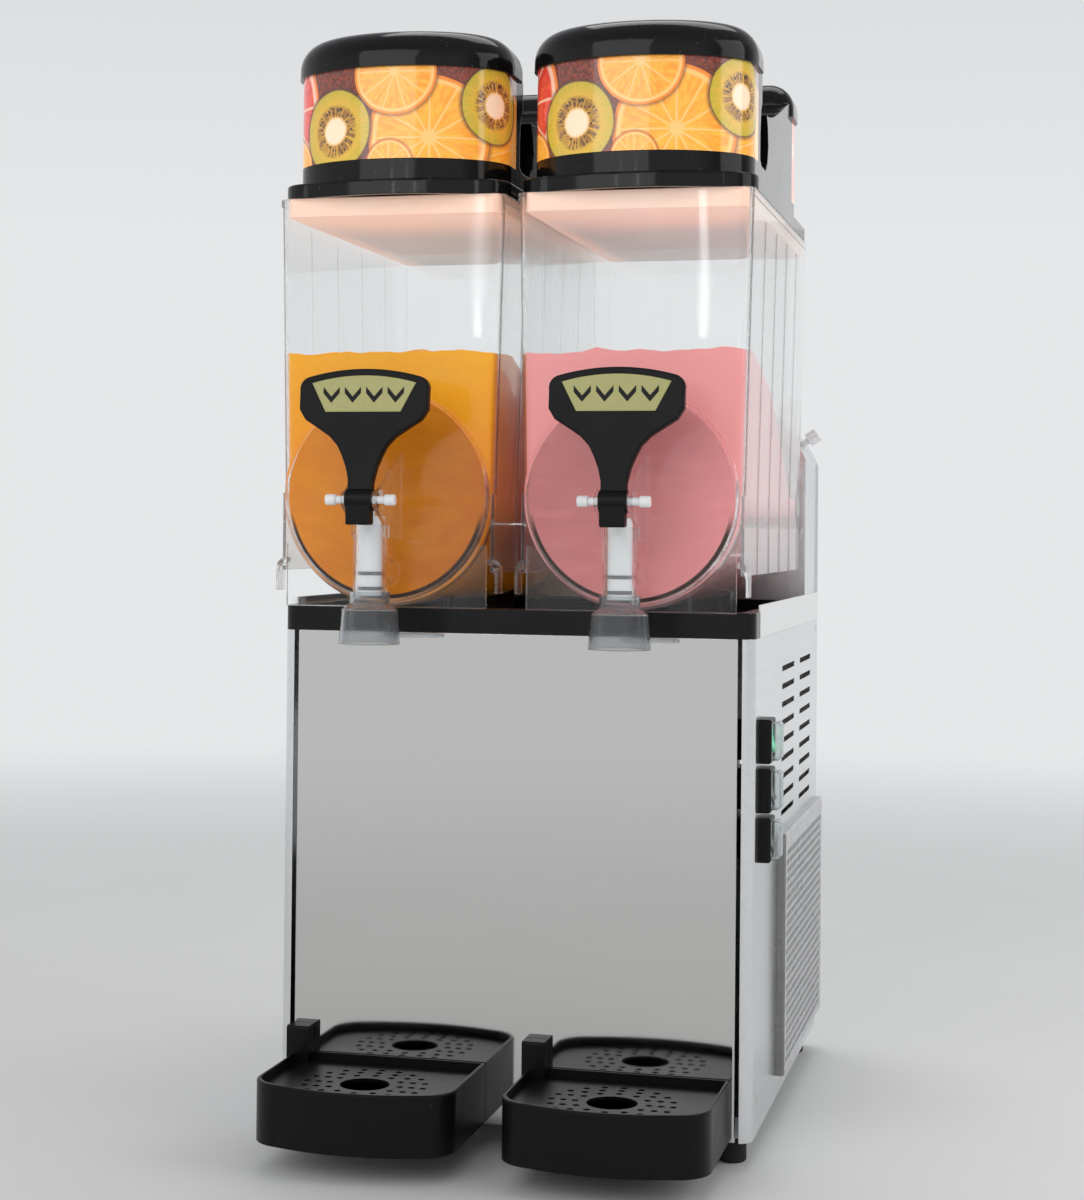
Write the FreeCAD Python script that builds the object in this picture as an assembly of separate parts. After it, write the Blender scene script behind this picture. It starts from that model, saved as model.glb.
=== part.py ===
import FreeCAD, Part
import math
import os

# Twin-bowl frozen drink machine, millimetres. X runs along the front, the front faces -Y, Z is up.
# Everything is drawn with the origin on the floor, on the cabinet's centre line, at the plane of its front
# panel, and save() then moves it so that the origin is the middle of the overall box, on the floor.
os.makedirs("parts", exist_ok=True)
V = FreeCAD.Vector
X_DIR = V(1, 0, 0)
Y_DIR = V(0, 1, 0)
Z_DIR = V(0, 0, 1)
ORIGIN = V(0, 0, 0)

# ---- driving dimensions ----
CAB_HALF = 190.0
CAB_DEPTH = 438.0
CAB_BOTTOM = 20.0
SHEET = 1.5
CORNER_R = 12.0
STRIP_BOTTOM = 403.5
STRIP_TOP = 423.5
RIM_TOP = 429.0
BOWL_X = {"left": -97.5, "right": 97.5}
AXIS_Z = 511.0
RUN = 0.05                      # radial running clearance
GAP = 0.05                      # gap between parts that only touch

BOWL_FRONT = -22.0
DISC_FRONT = -28.0
DISC_R = 83.4
BOWL_WALL = 2.5
BOWL_R = 86.6
BOWL_TOP_HALF = 91.6
BOWL_REAR = 328.0
LID_Z = 747.0
SEAT_Y = 346.0
EVAP_R = 56.0
GASKET_R = 84.0

LID_HALF = 92.25
LID_FRONT = -35.0
LID_BACK = 333.0
FLANGE_TOP = LID_Z + 12.0
DRUM_HALF = 86.5
DRUM_FRONT = -34.0
DRUM_MID = 24.0
DRUM_BACK = 62.0
BAND_BOTTOM = 775.0
BAND_TOP = 848.0
LID_TOP = 878.0
CAP_HALF = 89.0
CAP_FRONT = -37.5

TAP_Y = -64.0
TUBE_R = 13.0
TUBE_BORE = 9.5
TUBE_BOTTOM = 431.0
TUBE_TOP = 488.0
PIN_Y = -90.0
PIN_Z = 507.0
PIN_R = 3.0
LEVER_HALF = 51.0

HOUSE_R = 100.0
HOUSE_SHEET = 1.2
SHAFT_R = 6.0

TRAY_X = 96.0
TRAY_HALF = 78.0
TRAY_BOTTOM = 22.0
TRAY_RIM = 68.0
TRAY_FRONT = -125.0
GRID_TOP = 61.5
GRID_THICK = 3.0
DRAIN_Y = -68.0

BOOT_HEIGHT = 7.0
SWITCH_FACE = CAB_HALF + 9.0
SWITCH_Z = (323.0, 284.8, 246.5)
SWITCH_Y = 47.0
SWITCH_H = 34.6
SWITCH_W = 28.0

TO_ROW = V(-(SWITCH_FACE + GAP + BOOT_HEIGHT - CAB_HALF) / 2.0, -(CAB_DEPTH + TRAY_FRONT) / 2.0, 0)


def box(x0, x1, y0, y1, z0, z1):
    return Part.makeBox(x1 - x0, y1 - y0, z1 - z0, V(x0, y0, z0))


def mid_box(x, half_x, y0, y1, z0, z1):
    return box(x - half_x, x + half_x, y0, y1, z0, z1)


def rod_x(r, x0, x1, y, z):
    return Part.makeCylinder(r, x1 - x0, V(x0, y, z), X_DIR)


def rod_y(r, y0, y1, x, z):
    return Part.makeCylinder(r, y1 - y0, V(x, y0, z), Y_DIR)


def rod_z(r, z0, z1, x, y):
    return Part.makeCylinder(r, z1 - z0, V(x, y, z0), Z_DIR)


def fuse(shapes):
    if len(shapes) == 1:
        return shapes[0]
    return shapes[0].multiFuse(shapes[1:]).removeSplitter()


def cut(body, tools):
    return body.cut(fuse(tools))


def line(a, b):
    return Part.LineSegment(a, b).toShape()


def arc(a, b, c):
    return Part.Arc(a, b, c).toShape()


def prism(points, direction):
    return Part.Face(Part.makePolygon(points + [points[0]])).extrude(direction)


def prism_x(points, x0, x1):
    return prism([V(x0, y, z) for y, z in points], V(x1 - x0, 0, 0))


def prism_y(points, y0, y1):
    return prism([V(x, y0, z) for x, z in points], V(0, y1 - y0, 0))


def prism_z(points, z0, z1):
    return prism([V(x, y, z0) for x, y in points], V(0, 0, z1 - z0))


def round_edges(shape, radius, wanted):
    edges = [e for e in shape.Edges if wanted(e)]
    return shape.makeFillet(radius, edges)


def runs_along(edge, axis):
    if not isinstance(edge.Curve, Part.Line):
        return False
    return abs(edge.Curve.Direction.dot(axis)) > 0.999


def slot_x(length, height, depth_x0, depth_x1, y0, z):
    """Round-ended slot through a side panel, running along Y from y0."""
    r = height / 2.0
    core = box(depth_x0, depth_x1, y0 + r, y0 + length - r, z - r, z + r)
    ends = [rod_x(r, depth_x0, depth_x1, y, z) for y in (y0 + r, y0 + length - r)]
    return fuse([core] + ends)


def slot_y(length, height, y0, y1, x0, z):
    """Round-ended slot through a panel facing +-Y, running along X from x0."""
    r = height / 2.0
    core = box(x0 + r, x0 + length - r, y0, y1, z - r, z + r)
    ends = [rod_y(r, y0, y1, x, z) for x in (x0 + r, x0 + length - r)]
    return fuse([core] + ends)


def save(name, shape):
    shape.translated(TO_ROW).exportStep("parts/%s.step" % name)


def at_bowl(shape, side):
    return shape.translated(V(BOWL_X[side], 0, 0))


def save_pair(name, shape):
    """Two alike pieces that stay with the cabinet, one behind each bowl, in one node."""
    save(name, Part.makeCompound([at_bowl(shape, side) for side in BOWL_X]))


def both_bowls(name, shape):
    """Both bowls and all they carry are the same moulding, so one shape serves left and right."""
    for side in BOWL_X:
        save("%s_%s" % (name, side), at_bowl(shape, side))


# ---- cabinet ----
PAN_HALF = CAB_HALF - SHEET - 0.1
PAN_FRONT = 16.0
PAN_BACK = CAB_DEPTH - SHEET - 0.1
PAN_SHEET = 2.0
PAN_LIP = 16.0
FOOT_R = 11.0
FOOT_X = 172.0
FOOT_YS = (28.0, 408.0)
FOOT_NECK_R = 5.0


def foot_places():
    return [(x, y) for x in (-FOOT_X, FOOT_X) for y in FOOT_YS]


def build_base():
    outer = box(-PAN_HALF, PAN_HALF, PAN_FRONT, PAN_BACK, CAB_BOTTOM, CAB_BOTTOM + PAN_LIP)
    hollow = box(-PAN_HALF + PAN_SHEET, PAN_HALF - PAN_SHEET, PAN_FRONT + PAN_SHEET, PAN_BACK - PAN_SHEET,
                 CAB_BOTTOM + PAN_SHEET, CAB_BOTTOM + PAN_LIP + 1)
    holes = [rod_z(FOOT_NECK_R + RUN, CAB_BOTTOM - 1, CAB_BOTTOM + 5, x, y) for x, y in foot_places()]
    vents = [box(x, x + 8, 90, 150, CAB_BOTTOM - 1, CAB_BOTTOM + 5) for x in range(-100, 101, 20)]
    save("base_pan", cut(outer, [hollow] + holes + vents))

    feet = []
    for x, y in foot_places():
        pad = round_edges(rod_z(FOOT_R, 0, CAB_BOTTOM - GAP, x, y), 2.0, lambda e: e.BoundBox.ZMax < 1)
        neck = rod_z(FOOT_NECK_R, CAB_BOTTOM - 1, CAB_BOTTOM + PAN_SHEET + 1, x, y)
        barb = Part.makeCone(8.0, 4.5, 5.0, V(x, y, CAB_BOTTOM + PAN_SHEET + GAP), Z_DIR)
        feet.append(fuse([pad, neck, barb]))
    save("feet", Part.makeCompound(feet))


FRONT_HALF = 177.5
FRONT_RETURN = 14.0
TONGUE_H = 9.0
TONGUE_HALF = 5.0
POST_X0 = -82.0
POST_X1 = -64.0
TONGUE_REAR = 8.0
TONGUES = (((POST_X0 + POST_X1) / 2.0, 76.0), (60.0, 47.0))     # x from the tray's middle, and z


def tongue_places():
    return [(side * TRAY_X + dx, z) for side in (-1, 1) for dx, z in TONGUES]


def build_front_panel():
    z0 = CAB_BOTTOM + 0.5
    z1 = STRIP_BOTTOM - GAP
    outer = box(-FRONT_HALF, FRONT_HALF, 0, FRONT_RETURN, z0, z1)
    outer = round_edges(outer, 2.0, lambda e: runs_along(e, Z_DIR) and e.BoundBox.YMax < 1)
    hollow = box(-FRONT_HALF + SHEET, FRONT_HALF - SHEET, SHEET, FRONT_RETURN + 1, z0 + SHEET, z1 - SHEET)
    slots = []
    for x, z in tongue_places():
        slots.append(mid_box(x, TONGUE_HALF + 0.3, -1, 3, z - 0.3, z + TONGUE_H + 0.3))
    save("front_panel", cut(outer, [hollow] + slots))


LOUVRE_ROWS = 9
LOUVRE_Z0 = 371.5
LOUVRE_PITCH = 15.1
LOUVRE_H = 4.6
LOUVRE_COLS = ((172.0, 86.0), (298.0, 84.0))
SCREEN_Y0 = 149.0
SCREEN_Y1 = 427.0
SCREEN_Z0 = 38.0
SCREEN_Z1 = 237.0
SCREEN_X = 197.0
SCREEN_SHEET = 1.0
RIM_Y0 = 32.0


def side_skin(z0, z1, y1):
    """Right-hand sheet: short front flange, rounded corner, then the side."""
    outer = box(CAB_HALF - 40, CAB_HALF, 0, y1, z0, z1)
    outer = round_edges(outer, CORNER_R, lambda e: runs_along(e, Z_DIR) and e.BoundBox.XMin > CAB_HALF - 0.1
                        and e.BoundBox.YMax < 0.1)
    inner = box(CAB_HALF - 50, CAB_HALF - SHEET, SHEET, y1 + 1, z0 - 1, z1 + 1)
    inner = round_edges(inner, CORNER_R - SHEET, lambda e: runs_along(e, Z_DIR)
                        and e.BoundBox.XMin > CAB_HALF - SHEET - 0.1 and e.BoundBox.YMax < SHEET + 0.1)
    return outer.cut(inner).common(box(CAB_HALF - 9.5, CAB_HALF, 0, y1, z0, z1))


def mirrored(shape):
    return shape.mirror(ORIGIN, X_DIR)


SIDE_SCREWS = ((30.0, 48.0), (425.0, 395.0))                    # y and z in each side
BACK_SCREWS = ((-180.0, 42.0), (180.0, 42.0), (-180.0, 385.0), (180.0, 385.0))
COVER_SCREWS = ((-181.0, 431.0), (181.0, 431.0), (0.0, 431.0))
HEAD_R = 3.6
SHANK_R = 2.0
SCREW_LENGTH = 8.0
SUNK = 0.1                      # the flat heads sit this far below the sheet's face


def screw_cone(grow):
    return Part.makeCone(SHANK_R + grow, HEAD_R + grow, SHEET - SUNK, V(0, 0, -SHEET), Z_DIR)


def screw():
    """Countersunk cross-head screw pointing down, for a hole in a sheet whose face is at z = 0."""
    solid = fuse([screw_cone(0.0), rod_z(SHANK_R, -SCREW_LENGTH, -SHEET + 0.1, 0, 0)])
    cross = [mid_box(0, 0.5, -1.9, 1.9, -SHEET, 1.0), mid_box(0, 1.9, -0.5, 0.5, -SHEET, 1.0)]
    return cut(solid, cross)


def screw_hole():
    mouth = rod_z(HEAD_R + RUN, -SUNK - 0.01, 1.0, 0, 0)
    return fuse([screw_cone(RUN), mouth, rod_z(SHANK_R + RUN, -SCREW_LENGTH, 1.0, 0, 0)])


def on_side(shape, places):
    """Copies of a shape made for screw(), turned to face +X in the right-hand side sheet."""
    out = []
    for y, z in places:
        turned = shape.copy()
        turned.rotate(ORIGIN, Y_DIR, 90)
        out.append(turned.translated(V(CAB_HALF, y, z)))
    return out


def on_back(shape, places):
    """Copies of a shape made for screw(), turned to face +Y in the rear sheets."""
    out = []
    for x, z in places:
        turned = shape.copy()
        turned.rotate(ORIGIN, X_DIR, -90)
        out.append(turned.translated(V(x, CAB_DEPTH, z)))
    return out


def build_screws():
    right = on_side(screw(), SIDE_SCREWS)
    left = [mirrored(s) for s in right]
    save("panel_screws", Part.makeCompound(right + left + on_back(screw(), BACK_SCREWS + COVER_SCREWS)))


def build_side_panels():
    z0 = CAB_BOTTOM
    z1 = STRIP_BOTTOM - GAP
    plain = side_skin(z0, z1, CAB_DEPTH - SHEET - GAP)
    louvres = []
    for row in range(LOUVRE_ROWS):
        for y0, length in LOUVRE_COLS:
            louvres.append(slot_x(length, LOUVRE_H, CAB_HALF - 5, CAB_HALF + 5, y0, LOUVRE_Z0 - row * LOUVRE_PITCH))
    intake = box(CAB_HALF - 5, CAB_HALF + 5, SCREEN_Y0 + 12, SCREEN_Y1 - 12, SCREEN_Z0 + 12, SCREEN_Z1 - 12)
    switches = []
    for z in SWITCH_Z:
        switches.append(box(CAB_HALF - 5, CAB_HALF + 5, SWITCH_Y - 11.1, SWITCH_Y + 11.1, z - 15.1, z + 15.1))
    screw_holes = on_side(screw_hole(), SIDE_SCREWS)
    save("side_panel_right", cut(plain, louvres + [intake] + switches + screw_holes))

    lower = []
    for row in range(LOUVRE_ROWS):
        for y0, length in LOUVRE_COLS:
            lower.append(slot_x(length, LOUVRE_H, CAB_HALF - 5, CAB_HALF + 5, y0, 220.0 - row * LOUVRE_PITCH))
    save("side_panel_left", mirrored(cut(plain, louvres + lower + screw_holes)))


def screen_holes(y0, y1, z0, z1, r, pitch_y, pitch_z):
    wires = []
    rows = int((z1 - z0) / pitch_z)
    for i in range(rows + 1):
        z = z0 + i * pitch_z
        y = y0 + (pitch_y / 2.0 if i % 2 else 0.0)
        while y <= y1:
            wires.append(Part.Wire(Part.Circle(V(SCREEN_X, y, z), X_DIR, r).toShape()))
            y += pitch_y
    return wires


def build_filter_screen():
    """Shallow pressed pan with a perforated face, hung over the condenser intake."""
    inner_x = CAB_HALF + GAP
    outer = box(inner_x, SCREEN_X, SCREEN_Y0, SCREEN_Y1, SCREEN_Z0, SCREEN_Z1)
    outer = round_edges(outer, 2.0, lambda e: e.BoundBox.XMin > SCREEN_X - 0.1)
    hollow = box(inner_x - 1, SCREEN_X - SCREEN_SHEET, SCREEN_Y0 + SCREEN_SHEET, SCREEN_Y1 - SCREEN_SHEET,
                 SCREEN_Z0 + SCREEN_SHEET, SCREEN_Z1 - SCREEN_SHEET)
    window = box(SCREEN_X - 3, SCREEN_X + 3, SCREEN_Y0 + 6, SCREEN_Y1 - 6, SCREEN_Z0 + 6, SCREEN_Z1 - 6)
    frame = cut(outer, [hollow, window])
    rim = Part.makePolygon([V(SCREEN_X, y, z) for y, z in (
        (SCREEN_Y0 + 6, SCREEN_Z0 + 6), (SCREEN_Y1 - 6, SCREEN_Z0 + 6), (SCREEN_Y1 - 6, SCREEN_Z1 - 6),
        (SCREEN_Y0 + 6, SCREEN_Z1 - 6), (SCREEN_Y0 + 6, SCREEN_Z0 + 6))])
    holes = screen_holes(SCREEN_Y0 + 11, SCREEN_Y1 - 11, SCREEN_Z0 + 11, SCREEN_Z1 - 11, 3.1, 9.2, 7.4)
    face = Part.Face([rim] + holes)
    mesh = face.extrude(V(-SCREEN_SHEET, 0, 0))
    save("filter_screen", frame.fuse(mesh).removeSplitter())


def build_back_panel():
    z0 = CAB_BOTTOM
    z1 = STRIP_BOTTOM - GAP
    sheet = box(-CAB_HALF, CAB_HALF, CAB_DEPTH - SHEET, CAB_DEPTH, z0, z1)
    slots = []
    for row in range(12):
        for x0 in (-150.0, -45.0, 60.0):
            slots.append(slot_y(90.0, LOUVRE_H, CAB_DEPTH - 5, CAB_DEPTH + 5, x0, 130.0 + row * LOUVRE_PITCH))
    inlet = mid_box(INLET_X, INLET_HALF + GAP, CAB_DEPTH - 5, CAB_DEPTH + 5, INLET_Z - INLET_H - GAP,
                    INLET_Z + INLET_H + GAP)
    save("back_panel", cut(sheet, slots + [inlet] + on_back(screw_hole(), BACK_SCREWS)))


INLET_X = -136.0
INLET_Z = 72.0
INLET_HALF = 14.0
INLET_H = 12.0


def build_power_inlet():
    """Three-pin socket for a detachable mains lead: a back block, four walls and three pins with tabs."""
    front = CAB_DEPTH - SUNK
    body = mid_box(INLET_X, INLET_HALF, front - 26, front, INLET_Z - INLET_H, INLET_Z + INLET_H)
    body = round_edges(body, 2.0, lambda e: runs_along(e, Y_DIR))
    x = INLET_HALF - 3.0
    z = INLET_H - 2.5
    outline = [(-x, -z), (x, -z), (x, z - 4.0), (x - 4.0, z), (-x + 4.0, z), (-x, z - 4.0)]
    cavity = prism_y([(INLET_X + px, INLET_Z + pz) for px, pz in outline], front - 18, front + 1)
    pins = []
    for px, pz in ((-7.0, 0.5), (0.0, 4.0), (7.0, 0.5)):
        pins.append(mid_box(INLET_X + px, 1.0, front - 27, front - 3, INLET_Z + pz - 2, INLET_Z + pz + 2))
    tabs = [mid_box(INLET_X + px, 0.4, front - 34, front - 26, INLET_Z - 3, INLET_Z + 6) for px in (-7.0, 0.0, 7.0)]
    shell = cut(body, [cavity] + pins + tabs)
    low, high, left, right = INLET_Z - z, INLET_Z + z - 4.0, INLET_X - x, INLET_X + x
    past = 5.0
    rooms = [box(left - past, right + past, front - 26, front - 18, low - past, high + past + 4.0),
             box(left - past, left, front - 18, front, low - past, high + past + 4.0),
             box(right, right + past, front - 18, front, low - past, high + past + 4.0),
             box(left, right, front - 18, front, low - past, low),
             box(left, right, front - 18, front, high, high + past + 4.0)]
    walls = [shell.common(room) for room in rooms]
    save("power_inlet", Part.makeCompound(walls + [pin.fuse(tab) for pin, tab in zip(pins, tabs)]))


DECK_FLOOR = 411.0
SADDLE_YS = ((30.0, 50.0), (255.0, 275.0))


def build_deck():
    slab = box(-CAB_HALF, CAB_HALF, 0, CAB_DEPTH, STRIP_BOTTOM, STRIP_TOP)
    slab = round_edges(slab, CORNER_R, lambda e: runs_along(e, Z_DIR) and e.BoundBox.YMax < 0.1)
    slab = round_edges(slab, 1.2, lambda e: e.BoundBox.ZMin > STRIP_TOP - 0.1)
    sides = [box(x0, x1, RIM_Y0, CAB_DEPTH + 1, STRIP_BOTTOM - 1, STRIP_TOP + 1)
             for x0, x1 in ((-CAB_HALF - 1, -CAB_HALF + SHEET), (CAB_HALF - SHEET, CAB_HALF + 1))]
    basin = box(-178, 178, 10, 345, DECK_FLOOR, STRIP_TOP + 1)
    basin = round_edges(basin, 8.0, lambda e: runs_along(e, Z_DIR))
    under = box(-184, 184, 6, 430, STRIP_BOTTOM - 1, DECK_FLOOR - 3)
    duct = box(-150, 150, 356, 420, STRIP_BOTTOM - 1, STRIP_TOP + 1)
    back = box(-200, 200, CAB_DEPTH - SHEET, CAB_DEPTH + 1, STRIP_BOTTOM - 1, STRIP_TOP + 1)
    deck = cut(slab, sides + [basin, under, duct, back])
    saddles = []
    for x in BOWL_X.values():
        for y0, y1 in SADDLE_YS:
            pad = box(x - 36, x + 36, y0, y1, DECK_FLOOR - 1, 436.0)
            saddles.append(pad.cut(rod_y(BOWL_R + RUN, y0 - 1, y1 + 1, x, AXIS_Z)))
    save("top_deck", fuse([deck] + saddles))

    strips = []
    for x0, x1 in ((-CAB_HALF, -CAB_HALF + SHEET - GAP), (CAB_HALF - SHEET + GAP, CAB_HALF)):
        strips.append(box(x0, x1, RIM_Y0 + GAP, CAB_DEPTH - SHEET - GAP, STRIP_BOTTOM + GAP, RIM_TOP))
    save("side_rims", Part.makeCompound(strips))


# ---- rear housing with the two drive units ----
COVER_T = SHEET


def arches(r, half, y0, y1, z0):
    solids = []
    for x in BOWL_X.values():
        solids.append(rod_y(r, y0, y1, x, AXIS_Z))
        solids.append(box(x - r, x + r, y0, y1, z0, AXIS_Z))
    whole = fuse(solids)
    return whole.common(box(-half, half, y0 - 1, y1 + 1, z0, AXIS_Z + r + 1))


def build_rear_housing():
    z0 = STRIP_TOP + GAP
    y1 = CAB_DEPTH - COVER_T - GAP
    outer = arches(HOUSE_R, CAB_HALF - SHEET - GAP, SEAT_Y, y1, z0)
    inner = arches(HOUSE_R - HOUSE_SHEET, CAB_HALF - SHEET - GAP - HOUSE_SHEET, SEAT_Y + HOUSE_SHEET, y1 + 1, z0 - 1)
    holes = [rod_y(EVAP_R + RUN, SEAT_Y - 1, SEAT_Y + 3, x, AXIS_Z) for x in BOWL_X.values()]
    knob_holes = [knob_frame(rod_z(KNOB_STEM_R + RUN, -12, 4, 0, 0), x) for x in BOWL_X.values()]
    save("rear_housing", cut(outer, [inner] + holes + knob_holes))

    cover = arches(HOUSE_R, CAB_HALF, CAB_DEPTH - COVER_T, CAB_DEPTH, STRIP_BOTTOM)
    vents = []
    for x in BOWL_X.values():
        for row in range(6):
            vents.append(slot_y(70.0, LOUVRE_H, CAB_DEPTH - 5, CAB_DEPTH + 5, x - 35, 470.0 + row * LOUVRE_PITCH))
    save("housing_cover", cut(cover, vents + on_back(screw_hole(), COVER_SCREWS)))


KNOB_ANGLE = 55.0
KNOB_STEM_R = 3.0


def knob_frame(shape, x):
    """Puts a shape built along +Z, with z = 0 on the arch's skin, onto the arch at the knob's angle."""
    placed = shape.copy()
    placed.translate(V(0, 0, HOUSE_R))
    placed.rotate(ORIGIN, Y_DIR, KNOB_ANGLE)
    placed.translate(V(x, 405.0, AXIS_Z))
    return placed


def build_density_knobs():
    stem = rod_z(KNOB_STEM_R, -20, 8, 0, 0)
    head = rod_z(6.5, 6, 17, 0, 0)
    head = round_edges(head, 2.0, lambda e: e.BoundBox.ZMin > 16.9)
    grooves = []
    for k in range(8):
        a = math.radians(45.0 * k)
        grooves.append(rod_z(1.2, 5, 18, 7.0 * math.cos(a), 7.0 * math.sin(a)))
    knob = fuse([stem, cut(head, grooves)])
    for side, x in BOWL_X.items():
        save("density_knob_%s" % side, knob_frame(knob, x))


def build_drive():
    motor_parts = [mid_box(0, 42, 352, 382, AXIS_Z - 52, AXIS_Z + 42)]
    motor_parts.append(rod_y(36.0, 381, 428, 0, AXIS_Z - 10))
    motor_parts.append(rod_y(12.0, 427, 432, 0, AXIS_Z - 10))
    gearmotor = fuse(motor_parts)
    gearmotor = gearmotor.cut(rod_y(SHAFT_R + RUN, 351, 380, 0, AXIS_Z))
    both_bowls("gearmotor", gearmotor)

    shell = rod_y(EVAP_R, 14, SEAT_Y + 4, 0, AXIS_Z)
    shell = round_edges(shell, 6.0, lambda e: e.BoundBox.YMax < 14.1)
    annulus = rod_y(EVAP_R - 1.5, 22, SEAT_Y + 2, 0, AXIS_Z).cut(rod_y(10, 20, SEAT_Y + 4, 0, AXIS_Z))
    bore = rod_y(SHAFT_R + RUN, 10, SEAT_Y + 10, 0, AXIS_Z)
    flange = rod_y(66.0, SEAT_Y + HOUSE_SHEET + GAP, SEAT_Y + 4, 0, AXIS_Z)
    save_pair("evaporators", cut(fuse([shell, flange]), [annulus, bore]))

    seal = rod_y(GASKET_R, 331, SEAT_Y - GAP, 0, AXIS_Z)
    seal = round_edges(seal, 2.0, lambda e: e.BoundBox.YMax < 331.1)
    save_pair("bowl_gaskets", seal.cut(rod_y(EVAP_R + RUN, 330, SEAT_Y, 0, AXIS_Z)))

    shaft = rod_y(SHAFT_R, -4, 379, 0, AXIS_Z)
    both_bowls("auger_shaft", shaft)


# ---- auger ----
AUGER_R = 79.0
AUGER_INNER = 62.0
AUGER_PITCH = 110.0
AUGER_Y0 = 4.0
AUGER_Y1 = 312.0
RIBBON_T = 4.0


def swept_helix(pitch, length, radius, corners):
    """Four-cornered section, given in the XZ plane, swept up a helix about the Z axis."""
    spine = Part.makeLongHelix(pitch, length, radius)
    pipe = Part.BRepOffsetAPI.MakePipeShell(Part.Wire(spine.Edges))
    pipe.setFrenetMode(True)
    pipe.add(Part.makePolygon(corners + [corners[0]]))
    pipe.build()
    pipe.makeSolid()
    return pipe.shape()


def build_auger():
    length = AUGER_Y1 - AUGER_Y0
    mid_r = (AUGER_R + AUGER_INNER) / 2.0
    half_t = RIBBON_T / 2.0
    corners = [V(AUGER_INNER, 0, -half_t), V(AUGER_R, 0, -half_t), V(AUGER_R, 0, half_t), V(AUGER_INNER, 0, half_t)]
    ribbon = swept_helix(AUGER_PITCH, length, mid_r, corners)
    ribbon.rotate(ORIGIN, X_DIR, -90)
    ribbon.translate(V(0, AUGER_Y0, AXIS_Z))
    hub = rod_y(15.0, -14, 10, 0, AXIS_Z)
    hub = round_edges(hub, 4.0, lambda e: e.BoundBox.YMax < -13.9)
    arms = []
    for turn in (0.0, 180.0):
        arm = box(10, AUGER_R - 1, 1.5, 7.5, AXIS_Z - 5, AXIS_Z + 5)
        arm.rotate(V(0, 0, AXIS_Z), Y_DIR, turn)
        arms.append(arm)
    bar = box(-AUGER_R + 1, -AUGER_R + 9, 1.5, 60, AXIS_Z - 4, AXIS_Z + 4)
    auger = fuse([hub] + arms + [bar, ribbon])
    auger = auger.common(rod_y(AUGER_R, -20, 320, 0, AXIS_Z))
    auger = auger.cut(rod_y(SHAFT_R + RUN, -4 - GAP, 20, 0, AXIS_Z))
    both_bowls("auger", auger)


# ---- bowl ----
def trough(r, top_half, y0, y1, top_z):
    a = V(-top_half, y0, top_z)
    b = V(-r, y0, AXIS_Z)
    c = V(0, y0, AXIS_Z - r)
    d = V(r, y0, AXIS_Z)
    e = V(top_half, y0, top_z)
    face = Part.Face(Part.Wire([line(a, b), arc(b, c, d), line(d, e), line(e, a)]))
    return face.extrude(V(0, y1 - y0, 0))


SKIRT_Z0 = STRIP_TOP + 0.3
SKIRT_Z1 = 473.0
SIDE_SKIRT_Z = 452.0
BEAD_Z0 = 455.0                 # the collar's bead stops above the deck, so that the bowl can slide off
RIB_YS = (52.0, 120.0, 188.0, 256.0)


def side_skirt(sign):
    sheet = mid_box(sign * (BOWL_R - 1.25), 1.25, BOWL_FRONT + 2, BOWL_REAR, SIDE_SKIRT_Z, AXIS_Z + 2)
    return sheet


def hook_tab(sign):
    """Curved finger tab moulded on each lower front corner of the bowl."""
    pts = [(82.0, 462.0), (87.0, 461.0), (90.0, 457.0), (90.6, 450.0), (90.6, 436.0), (88.6, 436.0), (88.6, 449.0),
           (87.4, 454.0), (85.0, 457.5), (82.0, 458.0)]
    return prism_y([(sign * x, z) for x, z in pts], BOWL_FRONT - 1.5, BOWL_FRONT + 14)


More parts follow.
